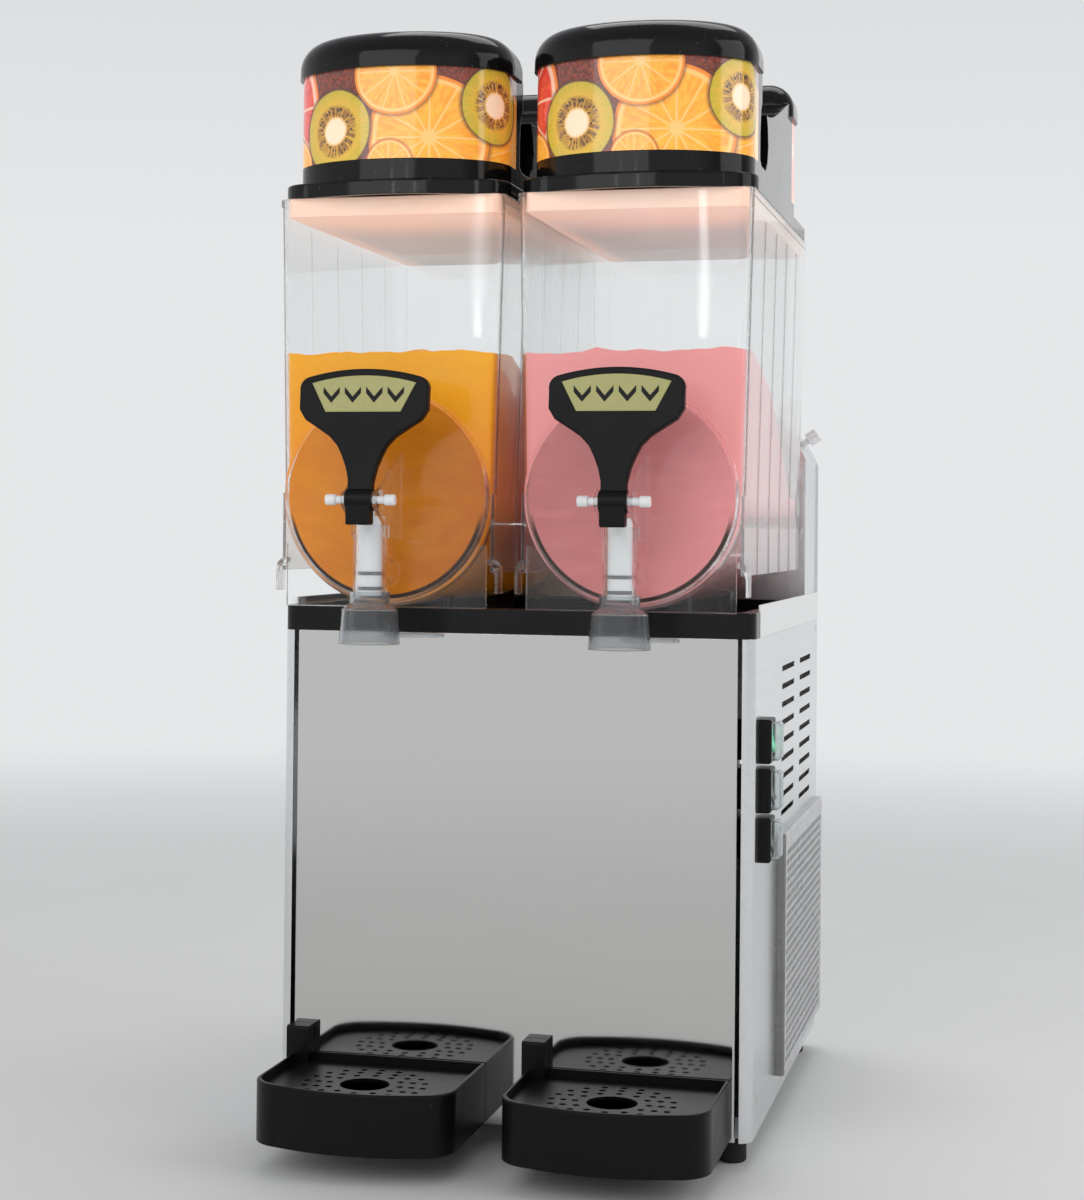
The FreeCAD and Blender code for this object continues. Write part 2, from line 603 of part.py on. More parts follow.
def build_bowl():
    wall = BOWL_WALL
    outer = trough(BOWL_R, BOWL_TOP_HALF, BOWL_FRONT, BOWL_REAR, LID_Z - GAP)
    outer = round_edges(outer, 9.0, lambda e: e.BoundBox.YMax < BOWL_FRONT + 0.1 and e.BoundBox.ZMin < LID_Z - 1)
    inner = trough(BOWL_R - wall, BOWL_TOP_HALF - wall, BOWL_FRONT + wall, BOWL_REAR - wall, LID_Z + 5)
    inner = round_edges(inner, 7.0, lambda e: e.BoundBox.YMax < BOWL_FRONT + wall + 0.1
                        and e.BoundBox.ZMin < LID_Z - 1)
    disc = rod_y(DISC_R, DISC_FRONT, BOWL_FRONT + 1, 0, AXIS_Z)
    disc = round_edges(disc, 2.5, lambda e: e.BoundBox.YMax < DISC_FRONT + 0.1)
    disc_hollow = rod_y(DISC_R - wall, DISC_FRONT + wall, BOWL_FRONT + 9, 0, AXIS_Z)
    collar = rod_y(GASKET_R + RUN + wall, BOWL_REAR - wall, SEAT_Y - 1, 0, AXIS_Z)
    bead = rod_y(91.0, 337, 343, 0, AXIS_Z).common(box(-95, 95, 330, 350, BEAD_Z0, AXIS_Z + 95))
    collar_hole = rod_y(GASKET_R + RUN, BOWL_REAR - 5, SEAT_Y + 1, 0, AXIS_Z)
    skirt = mid_box(0, 81.5, BOWL_FRONT - 2, BOWL_FRONT + 0.5, SKIRT_Z0, SKIRT_Z1)
    skirt = skirt.cut(rod_y(DISC_R - 4, -40, 20, 0, AXIS_Z))
    ribs = []
    for y in RIB_YS:
        for sign in (-1, 1):
            pts = [(sign * (BOWL_R - 1), SIDE_SKIRT_Z), (sign * (BOWL_R + 0.9), SIDE_SKIRT_Z),
                   (sign * (BOWL_R + 0.9), AXIS_Z), (sign * (BOWL_TOP_HALF + 0.5), LID_Z - 18),
                   (sign * (BOWL_TOP_HALF - 1), LID_Z - 18), (sign * (BOWL_R - 1), AXIS_Z)]
            ribs.append(prism_y(pts, y, y + 3))
    lip = trough(BOWL_R + 1.6, BOWL_TOP_HALF + 0.4, BOWL_FRONT, BOWL_REAR, LID_Z - GAP)
    lip = lip.common(box(-100, 100, BOWL_FRONT + 5, BOWL_REAR, LID_Z - 6, LID_Z))
    tap = rod_z(TUBE_R, TUBE_BOTTOM, TUBE_TOP, 0, TAP_Y)
    neck = rod_y(13.0, TAP_Y, DISC_FRONT + 2, 0, 452.0)
    web = mid_box(0, 2.5, TAP_Y + 6, DISC_FRONT + 2, 452, 500)
    ears = []
    for sign in (-1, 1):
        pts = [(DISC_FRONT + 2, 545.0), (DISC_FRONT + 2, 478.0), (TAP_Y - 4, 478.0), (TAP_Y - 8, 490.0),
               (PIN_Y - 5, PIN_Z - 5), (PIN_Y - 7, PIN_Z), (PIN_Y - 5, PIN_Z + 5), (PIN_Y + 4, PIN_Z + 8),
               (TAP_Y + 4, 528.0)]
        ears.append(prism_x(pts, sign * 11.0, sign * 14.0))
    solid = fuse([outer, disc, collar, bead, skirt, side_skirt(-1), side_skirt(1), hook_tab(-1), hook_tab(1), lip,
                  tap, neck, web] + ears + ribs)
    port = rod_y(7.0, TAP_Y, BOWL_FRONT + 9, 0, 452.0)
    tube_bore = rod_z(TUBE_BORE, TUBE_BOTTOM - 1, TUBE_TOP + 1, 0, TAP_Y)
    pin_hole = rod_x(PIN_R + RUN, -20, 20, PIN_Y, PIN_Z)
    lever_room = box(-11, 11, PIN_Y - 20, TAP_Y + 14, TUBE_TOP, 560)
    bowl = cut(solid, [inner, disc_hollow, collar_hole, port, tube_bore, pin_hole, lever_room])
    both_bowls("bowl", bowl)

    spout_parts = [Part.makeCone(23.6, 21.5, 26.0, V(0, TAP_Y, 397.0), Z_DIR)]
    spout_parts.append(Part.makeCone(21.5, 15.5, 5.0, V(0, TAP_Y, 422.9), Z_DIR))
    spout_parts.append(rod_z(15.5, 427.8, 437.0, 0, TAP_Y))
    hollow = [Part.makeCone(21.6, 19.5, 26.2, V(0, TAP_Y, 396.8), Z_DIR)]
    hollow.append(Part.makeCone(19.5, 12.5, 5.0, V(0, TAP_Y, 422.9), Z_DIR))
    hollow.append(rod_z(TUBE_R + RUN, 426.0, 438.0, 0, TAP_Y))
    spout = fuse(spout_parts).cut(fuse(hollow))
    spout = spout.cut(rod_y(13.0 + RUN, TAP_Y, 0, 0, 452.0))
    both_bowls("tap_spout", spout)


# ---- tap ----
PISTON_R = 9.2
RING_ZS = (451.0, 439.5)


def torus_z(r, tube, x, y, z):
    return Part.makeTorus(r, tube, V(x, y, z), Z_DIR)


def build_tap():
    body = rod_z(PISTON_R, 434.0, 495.0, 0, TAP_Y)
    grooves = [torus_z(PISTON_R, 1.4, 0, TAP_Y, z) for z in RING_ZS]
    neck = rod_z(3.5, 494.0, 510.0, 0, TAP_Y)
    cap = rod_z(7.5, 509.0, 515.0, 0, TAP_Y)
    cap = round_edges(cap, 1.5, lambda e: e.BoundBox.ZMin > 514.9)
    both_bowls("tap_piston", fuse([body.cut(fuse(grooves)), neck, cap]))
    rings = []
    for z in RING_ZS:
        ring = torus_z(PISTON_R, 1.35, 0, TAP_Y, z)
        bore = rod_z(TUBE_BORE - RUN, z - 3, z + 3, 0, TAP_Y)
        rings.append(ring.common(bore))
    both_bowls("piston_rings", Part.makeCompound(rings))

    pin = rod_x(PIN_R, -26, 22, PIN_Y, PIN_Z)
    heads = [rod_x(4.2, -27.5, -19, PIN_Y, PIN_Z), rod_x(4.2, 19, 27.5, PIN_Y, PIN_Z)]
    heads = [round_edges(h, 1.2, lambda e: True) for h in heads]
    both_bowls("tap_pin", fuse([pin] + heads))


LEVER_TOP = 607.0
LEVER_LEAN = 0.10               # the blade leans back towards the bowl by this slope
LEVER_T = 7.0


def lever_outline(grow):
    """Half outline of the blade seen from the front, from the top centre down to the hub."""
    side = [(LEVER_HALF + grow, 590.0), (LEVER_HALF + grow, 576.0), (46.0 + grow, 568.0 - grow),
            (35.0 + grow, 561.0 - grow), (26.0 + grow, 555.0 - grow), (19.5 + grow, 548.0), (15.5 + grow, 540.0),
            (12.0 + grow, 531.0), (9.6 + grow, 520.0)]
    return side


def blade(y0, y1):
    """Fan-shaped plate with an arched top, extruded along Y."""
    side = lever_outline(0.0)
    top_left = V(-44.0, y0, 601.0)
    top_mid = V(0, y0, LEVER_TOP)
    top_right = V(44.0, y0, 601.0)
    corner_r = V(49.3, y0, 597.5)
    corner_l = V(-49.3, y0, 597.5)
    right = [V(x, y0, z) for x, z in side]
    left = [V(-x, y0, z) for x, z in reversed(side)]
    edges = [arc(top_left, top_mid, top_right), arc(top_right, corner_r, right[0])]
    edges += [line(a, b) for a, b in zip(right, right[1:])]
    edges.append(line(right[-1], left[0]))
    edges += [line(a, b) for a, b in zip(left, left[1:])]
    edges.append(arc(left[-1], corner_l, top_left))
    return Part.Face(Part.Wire(edges)).extrude(V(0, y1 - y0, 0))


def leaned(shape):
    shape = shape.copy()
    shape.rotate(V(0, PIN_Y, PIN_Z), X_DIR, -math.degrees(math.atan(LEVER_LEAN)))
    return shape


def inset_face(y0, y1, shrink):
    a = V(-41.5 + shrink, y0, 596.0)
    m = V(0, y0, 602.0 - shrink)
    b = V(41.5 - shrink, y0, 596.0)
    c = V(30.0 - shrink * 0.8, y0, 573.5 + shrink)
    d = V(-30.0 + shrink * 0.8, y0, 573.5 + shrink)
    return Part.Face(Part.Wire([arc(a, m, b), line(b, c), line(c, d), line(d, a)])).extrude(V(0, y1 - y0, 0))


INSET_DEPTH = 1.2


def build_lever():
    front = PIN_Y - LEVER_T / 2.0
    plate = blade(front, front + LEVER_T)
    plate = round_edges(plate, 1.5, lambda e: e.BoundBox.YMax < front + 0.1 and e.BoundBox.ZMax > 525.0)
    recess = inset_face(front - 1, front + INSET_DEPTH, 0.0)
    stalk = mid_box(0, 9.6, front, front + LEVER_T, PIN_Z, 521.0)
    plate = leaned(fuse([plate.cut(recess), stalk]))
    hub = rod_x(8.5, -10.5, 10.5, PIN_Y, PIN_Z)
    foot = mid_box(0, 9.5, PIN_Y - 7.5, PIN_Y + 2, 488.0, PIN_Z)
    foot = round_edges(foot, 1.5, lambda e: e.BoundBox.ZMax < 488.1)
    prongs = []
    for sign in (-1, 1):
        x0 = min(sign * 4.0, sign * 7.5)
        prongs.append(box(x0, x0 + 3.5, PIN_Y + 4, TAP_Y + 2.5, PIN_Z - 2.5, PIN_Z + 0.8))
    bore = rod_x(PIN_R + RUN, -20, 20, PIN_Y, PIN_Z)
    coil_room = rod_x(7.0, -3.6, 3.6, PIN_Y, PIN_Z)
    lever = cut(fuse([plate, hub, foot] + prongs), [bore, coil_room])
    both_bowls("tap_lever", lever)

    inlay = inset_face(front + GAP, front + INSET_DEPTH - GAP, 0.25)
    both_bowls("lever_plate", leaned(inlay))

    half = 0.5
    corners = [V(4.6 + sx * half, 0, sz * half) for sx, sz in ((-1, -1), (1, -1), (1, 1), (-1, 1))]
    spring = swept_helix(1.5, 5.4, 4.6, corners)
    spring.rotate(ORIGIN, Y_DIR, 90)
    spring.translate(V(-2.7, PIN_Y, PIN_Z))
    both_bowls("tap_spring", spring)


# ---- lid ----
def drum_face(half, front, mid, back, z):
    curve = Part.Ellipse(V(0, mid, z), half, mid - front)
    bow = Part.ArcOfEllipse(curve, math.pi, 2 * math.pi).toShape()
    p1 = V(half, mid, z)
    p2 = V(half, back, z)
    p3 = V(-half, back, z)
    p4 = V(-half, mid, z)
    return Part.Face(Part.Wire([bow, line(p1, p2), line(p2, p3), line(p3, p4)]))


def drum(half, front, mid, back, z0, z1):
    return drum_face(half, front, mid, back, z0).extrude(V(0, 0, z1 - z0))


LID_MID = (LID_FRONT + LID_BACK) / 2.0


def rear_of(shape):
    """The lid's rear drum is its front drum turned round."""
    turned = shape.copy()
    turned.rotate(V(0, LID_MID, 0), Z_DIR, 180)
    return turned


def flange(half, z0, z1, inset):
    r = 24.0 - inset
    x = half - inset
    y_side = 2.0
    y_corner = -22.0 + inset
    y_front = LID_FRONT + inset
    y_back = LID_BACK - inset
    c = r * (1 - math.sqrt(0.5))
    p = [V(-x, y_side, z0), V(-x + c, y_side - r * math.sqrt(0.5), z0), V(-x + r, y_corner, z0),
         V(0, y_front, z0), V(x - r, y_corner, z0), V(x - c, y_side - r * math.sqrt(0.5), z0), V(x, y_side, z0),
         V(x, y_back - r, z0), V(x - c, y_back - c, z0), V(x - r, y_back, z0), V(-x + r, y_back, z0),
         V(-x + c, y_back - c, z0), V(-x, y_back - r, z0)]
    edges = [arc(p[0], p[1], p[2]), arc(p[2], p[3], p[4]), arc(p[4], p[5], p[6]), line(p[6], p[7]),
             arc(p[7], p[8], p[9]), line(p[9], p[10]), arc(p[10], p[11], p[12]), line(p[12], p[0])]
    return Part.Face(Part.Wire(edges)).extrude(V(0, 0, z1 - z0))


SADDLE = ((DRUM_BACK - 1, BAND_BOTTOM - 1), (DRUM_BACK - 1, 826.0), (70.0, 822.0), (85.0, 820.5), (105.0, 821.5),
          (130.0, 826.0), (160.0, 834.0), (190.0, 843.0), (215.0, 851.0), (237.0, 857.0), (237.0, BAND_BOTTOM - 1))
GRIP = ((52.0, 779.0), (60.0, 775.0), (86.0, 775.0), (96.0, 783.0), (101.0, 797.0), (97.0, 812.0), (84.0, 830.0),
        (66.0, 830.0), (56.0, 818.0), (52.0, 800.0))
SHELL = 3.0
LINER_DROP = 14.0
LINER_FLOOR = 3.0


def build_lid():
    flange_solid = flange(LID_HALF, LID_Z, FLANGE_TOP, 0.0)
    flange_solid = round_edges(flange_solid, 2.0, lambda e: e.BoundBox.ZMin > FLANGE_TOP - 0.1)
    collar_front = drum(DRUM_HALF, DRUM_FRONT, DRUM_MID, LID_MID + 1, FLANGE_TOP - 1, BAND_BOTTOM)
    front_drum = drum(DRUM_HALF, DRUM_FRONT, DRUM_MID, DRUM_BACK, BAND_BOTTOM - 1, BAND_TOP)
    cap = drum(CAP_HALF, CAP_FRONT, DRUM_MID, DRUM_BACK, BAND_TOP - 1.0, LID_TOP)
    cap = round_edges(cap, 14.0, lambda e: runs_along(e, Z_DIR) and e.BoundBox.YMin > DRUM_BACK - 1)
    cap = round_edges(cap, 24.0, lambda e: e.BoundBox.ZMin > LID_TOP - 0.1)
    fronts = [collar_front, front_drum, cap]
    saddle = prism_x(list(SADDLE), -DRUM_HALF, DRUM_HALF)
    solid = fuse([flange_solid, saddle] + fronts + [rear_of(s) for s in fronts])
    grips = [prism_x(list(GRIP), x0, x1) for x0, x1 in ((-95.0, -72.0), (72.0, 95.0))]

    inner_drum = drum(DRUM_HALF - SHELL, DRUM_FRONT + SHELL, DRUM_MID, DRUM_BACK - SHELL, LID_Z - 1, BAND_TOP)
    inner_drum = inner_drum.common(box(-68, 68, -50, 100, LID_Z - 2, LID_TOP)).fuse(
        inner_drum.common(box(-100, 100, -50, 48, LID_Z - 2, LID_TOP)))
    cap_core = drum(CAP_HALF - 22, CAP_FRONT + 22, DRUM_MID, DRUM_BACK - 16, BAND_TOP - 1, LID_TOP - SHELL)
    band_room = drum(DRUM_HALF + 1, DRUM_FRONT - 1, DRUM_MID, 40.0, BAND_BOTTOM, BAND_TOP - 1.0)
    inner_saddle = prism_x([(y, z - SHELL) for y, z in SADDLE[1:-1]] + [(236.0, LID_Z - 1), (DRUM_BACK, LID_Z - 1)],
                           -68.0, 68.0)
    side_core = box(-DRUM_HALF + SHELL, DRUM_HALF - SHELL, 108.0, 236.0, LID_Z - 1, 818.0)
    hollows = [inner_drum, cap_core, band_room]
    lid = cut(solid, grips + hollows + [rear_of(h) for h in hollows] + [inner_saddle, side_core])

    both_bowls("lid_shell", lid)

    film_out = drum(DRUM_HALF, DRUM_FRONT, DRUM_MID, 40.0 - GAP, BAND_BOTTOM + GAP, BAND_TOP - 1.0 - GAP)
    film_in = drum(DRUM_HALF - 1.8, DRUM_FRONT + 1.8, DRUM_MID, 41.0, BAND_BOTTOM - 1, BAND_TOP + 1)
    film = film_out.cut(film_in)
    both_bowls("lid_print", Part.makeCompound([film, rear_of(film)]))

    liner = box(-87.4, 87.4, -17.0, 322.5, LID_Z - LINER_DROP, LID_Z)
    liner = round_edges(liner, 7.0, lambda e: runs_along(e, Z_DIR))
    room = box(-85.4, 85.4, -15.0, 320.5, LID_Z - LINER_DROP + LINER_FLOOR, LID_Z + 1)
    room = round_edges(room, 5.0, lambda e: runs_along(e, Z_DIR))
    both_bowls("lid_diffuser", liner.cut(room))


# ---- drip trays ----
def tray_plan(half, front, z0, z1, back):
    side_y = front + 35.0
    shoulder_x = half - 24.0
    shoulder_y = front + 9.0
    p = [V(-half, back, z0), V(-half, side_y, z0), V(-half + 6.0, side_y - 15.5, z0), V(-shoulder_x, shoulder_y, z0),
         V(0, front, z0), V(shoulder_x, shoulder_y, z0), V(half - 6.0, side_y - 15.5, z0), V(half, side_y, z0),
         V(half, back, z0)]
    edges = [line(p[0], p[1]), arc(p[1], p[2], p[3]), arc(p[3], p[4], p[5]), arc(p[5], p[6], p[7]),
             line(p[7], p[8]), line(p[8], p[0])]
    return Part.Face(Part.Wire(edges)).extrude(V(0, 0, z1 - z0))


def build_trays():
    outer = tray_plan(TRAY_HALF, TRAY_FRONT, TRAY_BOTTOM, TRAY_RIM, -0.5)
    outer = round_edges(outer, 1.5, lambda e: e.BoundBox.ZMin > TRAY_RIM - 0.1)
    basin = tray_plan(TRAY_HALF - 5.0, TRAY_FRONT + 5.0, TRAY_BOTTOM + 3.0, TRAY_RIM, -4.5)
    ledge = tray_plan(TRAY_HALF - 2.6, TRAY_FRONT + 2.6, GRID_TOP - GRID_THICK - GAP, TRAY_RIM + 1, -3.2)
    post = box(POST_X0, POST_X1, -15.0, -0.5, TRAY_BOTTOM, 90.0)
    post = round_edges(post, 2.0, lambda e: e.BoundBox.YMax < -14.9 and e.BoundBox.ZMin > TRAY_BOTTOM + 1)
    tongues = []
    for x, z in TONGUES:
        tongues.append(mid_box(x, TONGUE_HALF, -2.0, TONGUE_REAR, z, z + TONGUE_H))
    tray = fuse([cut(outer, [basin, ledge]), post] + tongues)

    grid = tray_plan(TRAY_HALF - 2.9, TRAY_FRONT + 2.9, GRID_TOP - GRID_THICK, GRID_TOP, -3.5)
    corner = box(POST_X0 - 1, POST_X1 + 0.3, -15.4, 0, GRID_TOP - 10, GRID_TOP + 10)
    holes = [rod_z(19.0, 40, 80, 0, DRAIN_Y)]
    for ring_r, count, r in ((28.0, 12, 2.6), (37.0, 16, 2.6), (46.0, 20, 2.6)):
        for k in range(count):
            a = 2 * math.pi * k / count
            holes.append(rod_z(r, 40, 80, ring_r * math.cos(a), DRAIN_Y + ring_r * math.sin(a)))
    grid = cut(grid, [corner] + holes)
    for side, sign in (("left", -1), ("right", 1)):
        shift = V(sign * TRAY_X, 0, 0)
        save("drip_tray_%s" % side, tray.translated(shift))
        save("drip_grid_%s" % side, grid.translated(shift))


# ---- refrigeration and electrics ----
CONDENSER_X0 = 138.0
CONDENSER_X1 = 176.0
COND_YS = (172.0, 404.0)
COND_ZS = (46.0, 226.0)
FIN_COUNT = 30
TUBE = 4.0
FAN_Y = 288.0
FAN_Z = 136.0


def build_condenser():
    fins = []
    pitch = (COND_YS[1] - COND_YS[0]) / (FIN_COUNT - 1)
    places = [(x, 62.0 + 30.0 * k) for k in range(6) for x in (148.0, 166.0)]
    holes = fuse([rod_y(TUBE + RUN, COND_YS[0] - 5, COND_YS[1] + 8, x, z) for x, z in places])
    for i in range(FIN_COUNT):
        y = COND_YS[0] + i * pitch
        thick = 2.0 if i in (0, FIN_COUNT - 1) else 0.8
        fins.append(box(CONDENSER_X0, CONDENSER_X1, y, y + thick, COND_ZS[0], COND_ZS[1]))
    block = Part.makeCompound(fins).cut(holes)
    rails = [box(CONDENSER_X0, CONDENSER_X1, COND_YS[0], COND_YS[1] + 2, z, z + 2) for z in (COND_ZS[0] - 2,
                                                                                         COND_ZS[1])]
    finned = fuse(list(block.Solids) + rails)

    tubes = [rod_y(TUBE, COND_YS[0] - 6, COND_YS[1] + 8, x, z) for x, z in places]
    links = [rod_x(TUBE, 148.0, 166.0, COND_YS[1] + 8, 62.0 + 30.0 * k) for k in range(6)]
    for k in range(5):
        x = 166.0 if k % 2 == 0 else 148.0
        links.append(rod_z(TUBE, 62.0 + 30.0 * k, 92.0 + 30.0 * k, x, COND_YS[0] - 6))
    save("condenser", Part.makeCompound([finned, fuse(tubes + links)]))


def build_fan():
    plate = box(126, 136, COND_YS[0], COND_YS[1], 40, 232)
    hollow = box(125, 134.5, COND_YS[0] + 1.5, COND_YS[1] - 1.5, 41.5, 230.5)
    throat = rod_x(84.0, 120, 140, FAN_Y, FAN_Z)
    lip = rod_x(86.0, 122, 136, FAN_Y, FAN_Z).cut(rod_x(84.0, 120, 140, FAN_Y, FAN_Z))
    arm = box(96, 99, FAN_Y - 90, FAN_Y + 90, FAN_Z - 8, FAN_Z + 8)
    posts = [box(96, 130, FAN_Y + s * 90 - 3, FAN_Y + s * 90 + 3, FAN_Z - 8, FAN_Z + 8) for s in (-1, 1)]
    arm = arm.cut(rod_x(8.0, 90, 110, FAN_Y, FAN_Z))
    save("fan_shroud", fuse([cut(plate, [hollow, throat]), lip, arm] + posts))

    motor = fuse([rod_x(30.0, 50, 96 - GAP, FAN_Y, FAN_Z), rod_x(2.5, 95, 126, FAN_Y, FAN_Z)])
    save("fan_motor", motor)

    blades = [rod_x(22.0, 106, 128, FAN_Y, FAN_Z)]
    for k in range(5):
        blade_solid = box(116, 118.5, 16, 78, -22, 22)
        blade_solid.rotate(V(117, 0, 0), Y_DIR, 28)
        blade_solid.rotate(ORIGIN, X_DIR, 72 * k)
        blade_solid.translate(V(0, FAN_Y, FAN_Z))
        blades.append(blade_solid)
    fan = fuse(blades).common(rod_x(82.0, 100, 134, FAN_Y, FAN_Z))
    save("fan_blade", fan.cut(rod_x(2.5 + RUN, 100, 126 + GAP, FAN_Y, FAN_Z)))


COMP_X = -70.0
COMP_Y = 270.0


def build_compressor():
    can = rod_z(66.0, 48, 190, COMP_X, COMP_Y)
    can = round_edges(can, 26.0, lambda e: e.BoundBox.ZMin > 189.9)
    seam = rod_z(69.0, 120, 125, COMP_X, COMP_Y)
    plate = box(COMP_X - 78, COMP_X + 78, COMP_Y - 60, COMP_Y + 60, 38, 50)
    tray = box(COMP_X - 74, COMP_X + 74, COMP_Y - 56, COMP_Y + 56, 37, 46)
    terminal = box(COMP_X + 60, COMP_X + 80, COMP_Y - 20, COMP_Y + 20, 100, 150)
    feet = [rod_z(9.0, CAB_BOTTOM + PAN_SHEET + GAP, 40, COMP_X + sx * 68, COMP_Y + sy * 50)
            for sx in (-1, 1) for sy in (-1, 1)]
    save("compressor", fuse([can, seam, plate.cut(tray), terminal] + feet))


def pipe_run(points, r):
    """Bent tube of radius r: straight runs between the points, joined by tangent bends."""
    edges = []
    last = points[0]
    for a, p, b in zip(points, points[1:], points[2:]):
        u = (a - p).normalize()
        w = (b - p).normalize()
        reach = 0.4 * min(a.distanceToPoint(p), b.distanceToPoint(p), 20.0 * r)
        half_turn = u.getAngle(w) / 2.0
        inwards = (u + w).normalize()
        to_centre = reach / math.cos(half_turn)
        middle = p + inwards * (to_centre - reach * math.tan(half_turn))
        edges.append(line(last, p + u * reach))
        edges.append(arc(p + u * reach, middle, p + w * reach))
        last = p + w * reach
    edges.append(line(last, points[-1]))
    start = (points[1] - points[0]).normalize()
    ring = Part.Wire(Part.Circle(points[0], start, r).toShape())
    pipe = Part.BRepOffsetAPI.MakePipeShell(Part.Wire(edges))
    pipe.setFrenetMode(False)
    pipe.add(ring)
    pipe.build()
    pipe.makeSolid()
    return pipe.shape()


def build_pipes():
    coil_front = COND_YS[0] - 6 - GAP
    seat = SEAT_Y + 4 + GAP
    thin = 3.0
    discharge = pipe_run([V(COMP_X + 10, COMP_Y - 65.9, 60), V(COMP_X + 10, 150, 60), V(60, 150, 60),
                          V(60, 150, 250), V(148, 150, 250), V(148, 150, 212), V(148, coil_front, 212)], TUBE)
    liquid = pipe_run([V(148, coil_front, 62), V(148, 140, 62), V(100, 134, 40), V(30, 140, 40), V(30, 410, 40),
                       V(60, 424, 60), V(60, 424, 120 - GAP)], thin)
    drier = fuse([rod_z(11.0, 120, 200, 60, 424), Part.makeCone(11, thin, 10, V(60, 424, 200), Z_DIR)])
    riser = pipe_run([V(60, 424, 210 + GAP), V(60, 424, 330), V(20, 416, 380), V(20, 395, 400), V(20, 372, 440),
                      V(20, 372, 480 - thin - GAP)], thin)
    feed = pipe_run([V(-45, seat, 480), V(-45, 372, 480), V(45, 372, 480), V(45, seat, 480)], thin)
    header = pipe_run([V(-45, seat, 506), V(-45, 372, 506), V(45, 372, 506), V(45, seat, 506)], TUBE)
    suction = pipe_run([V(-20, 372, 506 - TUBE - GAP), V(-20, 372, 490), V(-20, 398, 440), V(-20, 398, 400),
                        V(-110, 410, 380), V(-150, 380, 300), V(-150, 270, 160), V(COMP_X - 66.1, COMP_Y, 160)],
                       TUBE)
    save("refrigerant_pipes", Part.makeCompound([discharge, liquid, drier, riser, feed, header, suction]))


def build_switches():
    bodies = []
    for i, z in enumerate(SWITCH_Z):
        bezel = box(CAB_HALF + GAP, SWITCH_FACE, SWITCH_Y - SWITCH_W / 2, SWITCH_Y + SWITCH_W / 2, z - SWITCH_H / 2,
                    z + SWITCH_H / 2)
        bezel = round_edges(bezel, 2.0, lambda e: e.BoundBox.XMin > SWITCH_FACE - 0.1)
        barrel = box(CAB_HALF - 28, CAB_HALF + 1, SWITCH_Y - 11, SWITCH_Y + 11, z - 15, z + 15)
        tabs = [box(CAB_HALF - 36, CAB_HALF - 27, SWITCH_Y - 3, SWITCH_Y + 3, z + dz - 0.4, z + dz + 0.4)
                for dz in (-9.0, 0.0, 9.0)]
        well = box(CAB_HALF - 10, SWITCH_FACE + 2, SWITCH_Y - 8.5, SWITCH_Y + 8.5, z - 13, z + 13)
        bodies.append(cut(fuse([bezel, barrel] + tabs), [well]))
        rocker = rod_y(13.0, SWITCH_Y - 8.4, SWITCH_Y + 8.4, SWITCH_FACE - 9.0, z)
        rocker = rocker.common(box(SWITCH_FACE - 12, SWITCH_FACE + 8, SWITCH_Y - 9, SWITCH_Y + 9, z - 12.0, z + 12.0))
        dish = rod_y(30.0, SWITCH_Y - 9, SWITCH_Y + 9, SWITCH_FACE + 29.0, z)
        rocker = rocker.cut(dish)
        rocker.rotate(V(SWITCH_FACE - 9.0, SWITCH_Y, z), Y_DIR, -10)
        save("rocker_%d" % (i + 1), rocker)
    save("switch_bodies", Part.makeCompound(bodies))

    boots = []
    for z in SWITCH_Z:
        x0 = SWITCH_FACE + GAP
        dome = box(x0, x0 + BOOT_HEIGHT, SWITCH_Y - 11, SWITCH_Y + 11, z - 15, z + 15)
        dome = round_edges(dome, 3.5, lambda e: e.BoundBox.XMax > x0 + 0.5)
        inside = box(x0 - 1, x0 + BOOT_HEIGHT - 0.8, SWITCH_Y - 10.2, SWITCH_Y + 10.2, z - 14.2, z + 14.2)
        inside = round_edges(inside, 2.7, lambda e: e.BoundBox.XMax > x0 + 0.5)
        boots.append(dome.cut(inside))
    save("switch_boots", Part.makeCompound(boots))


build_base()
build_front_panel()
build_side_panels()
build_filter_screen()
build_back_panel()
build_power_inlet()
build_screws()
build_deck()
build_rear_housing()
build_density_knobs()
build_drive()
build_auger()
build_bowl()
build_tap()
build_lever()
build_lid()
build_trays()
build_condenser()
build_fan()
build_compressor()
build_pipes()
build_switches()
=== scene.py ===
import math
import bpy
import bmesh
from mathutils import Matrix, Vector, noise


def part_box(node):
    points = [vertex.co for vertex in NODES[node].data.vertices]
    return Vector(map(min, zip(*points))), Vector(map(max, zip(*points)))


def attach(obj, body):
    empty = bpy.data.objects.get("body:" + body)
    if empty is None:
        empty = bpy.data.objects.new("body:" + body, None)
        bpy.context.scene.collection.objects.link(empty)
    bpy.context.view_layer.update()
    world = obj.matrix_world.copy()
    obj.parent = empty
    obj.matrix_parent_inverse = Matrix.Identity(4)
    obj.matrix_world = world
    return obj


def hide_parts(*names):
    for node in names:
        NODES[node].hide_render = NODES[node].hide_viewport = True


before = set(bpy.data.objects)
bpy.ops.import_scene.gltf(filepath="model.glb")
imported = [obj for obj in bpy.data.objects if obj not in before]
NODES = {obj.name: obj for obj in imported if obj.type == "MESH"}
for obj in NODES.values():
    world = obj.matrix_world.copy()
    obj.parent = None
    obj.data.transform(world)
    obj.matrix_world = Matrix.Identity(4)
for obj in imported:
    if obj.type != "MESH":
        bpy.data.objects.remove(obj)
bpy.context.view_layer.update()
SIDES = ("left", "right")
MM = 0.001

# The camera stands to the right of the machine, 1.9 m in front of it, and looks a little up and to the left.
CAMERA_AT = Vector((0.41424, -1.87577, 0.48654))
CAMERA_YAW = 0.2539
CAMERA_PITCH = -0.0147
CAMERA_ROLL = 0.0102
LENS = 67.75
SHIFT_X = 0.0478
SHIFT_Y = -0.0876

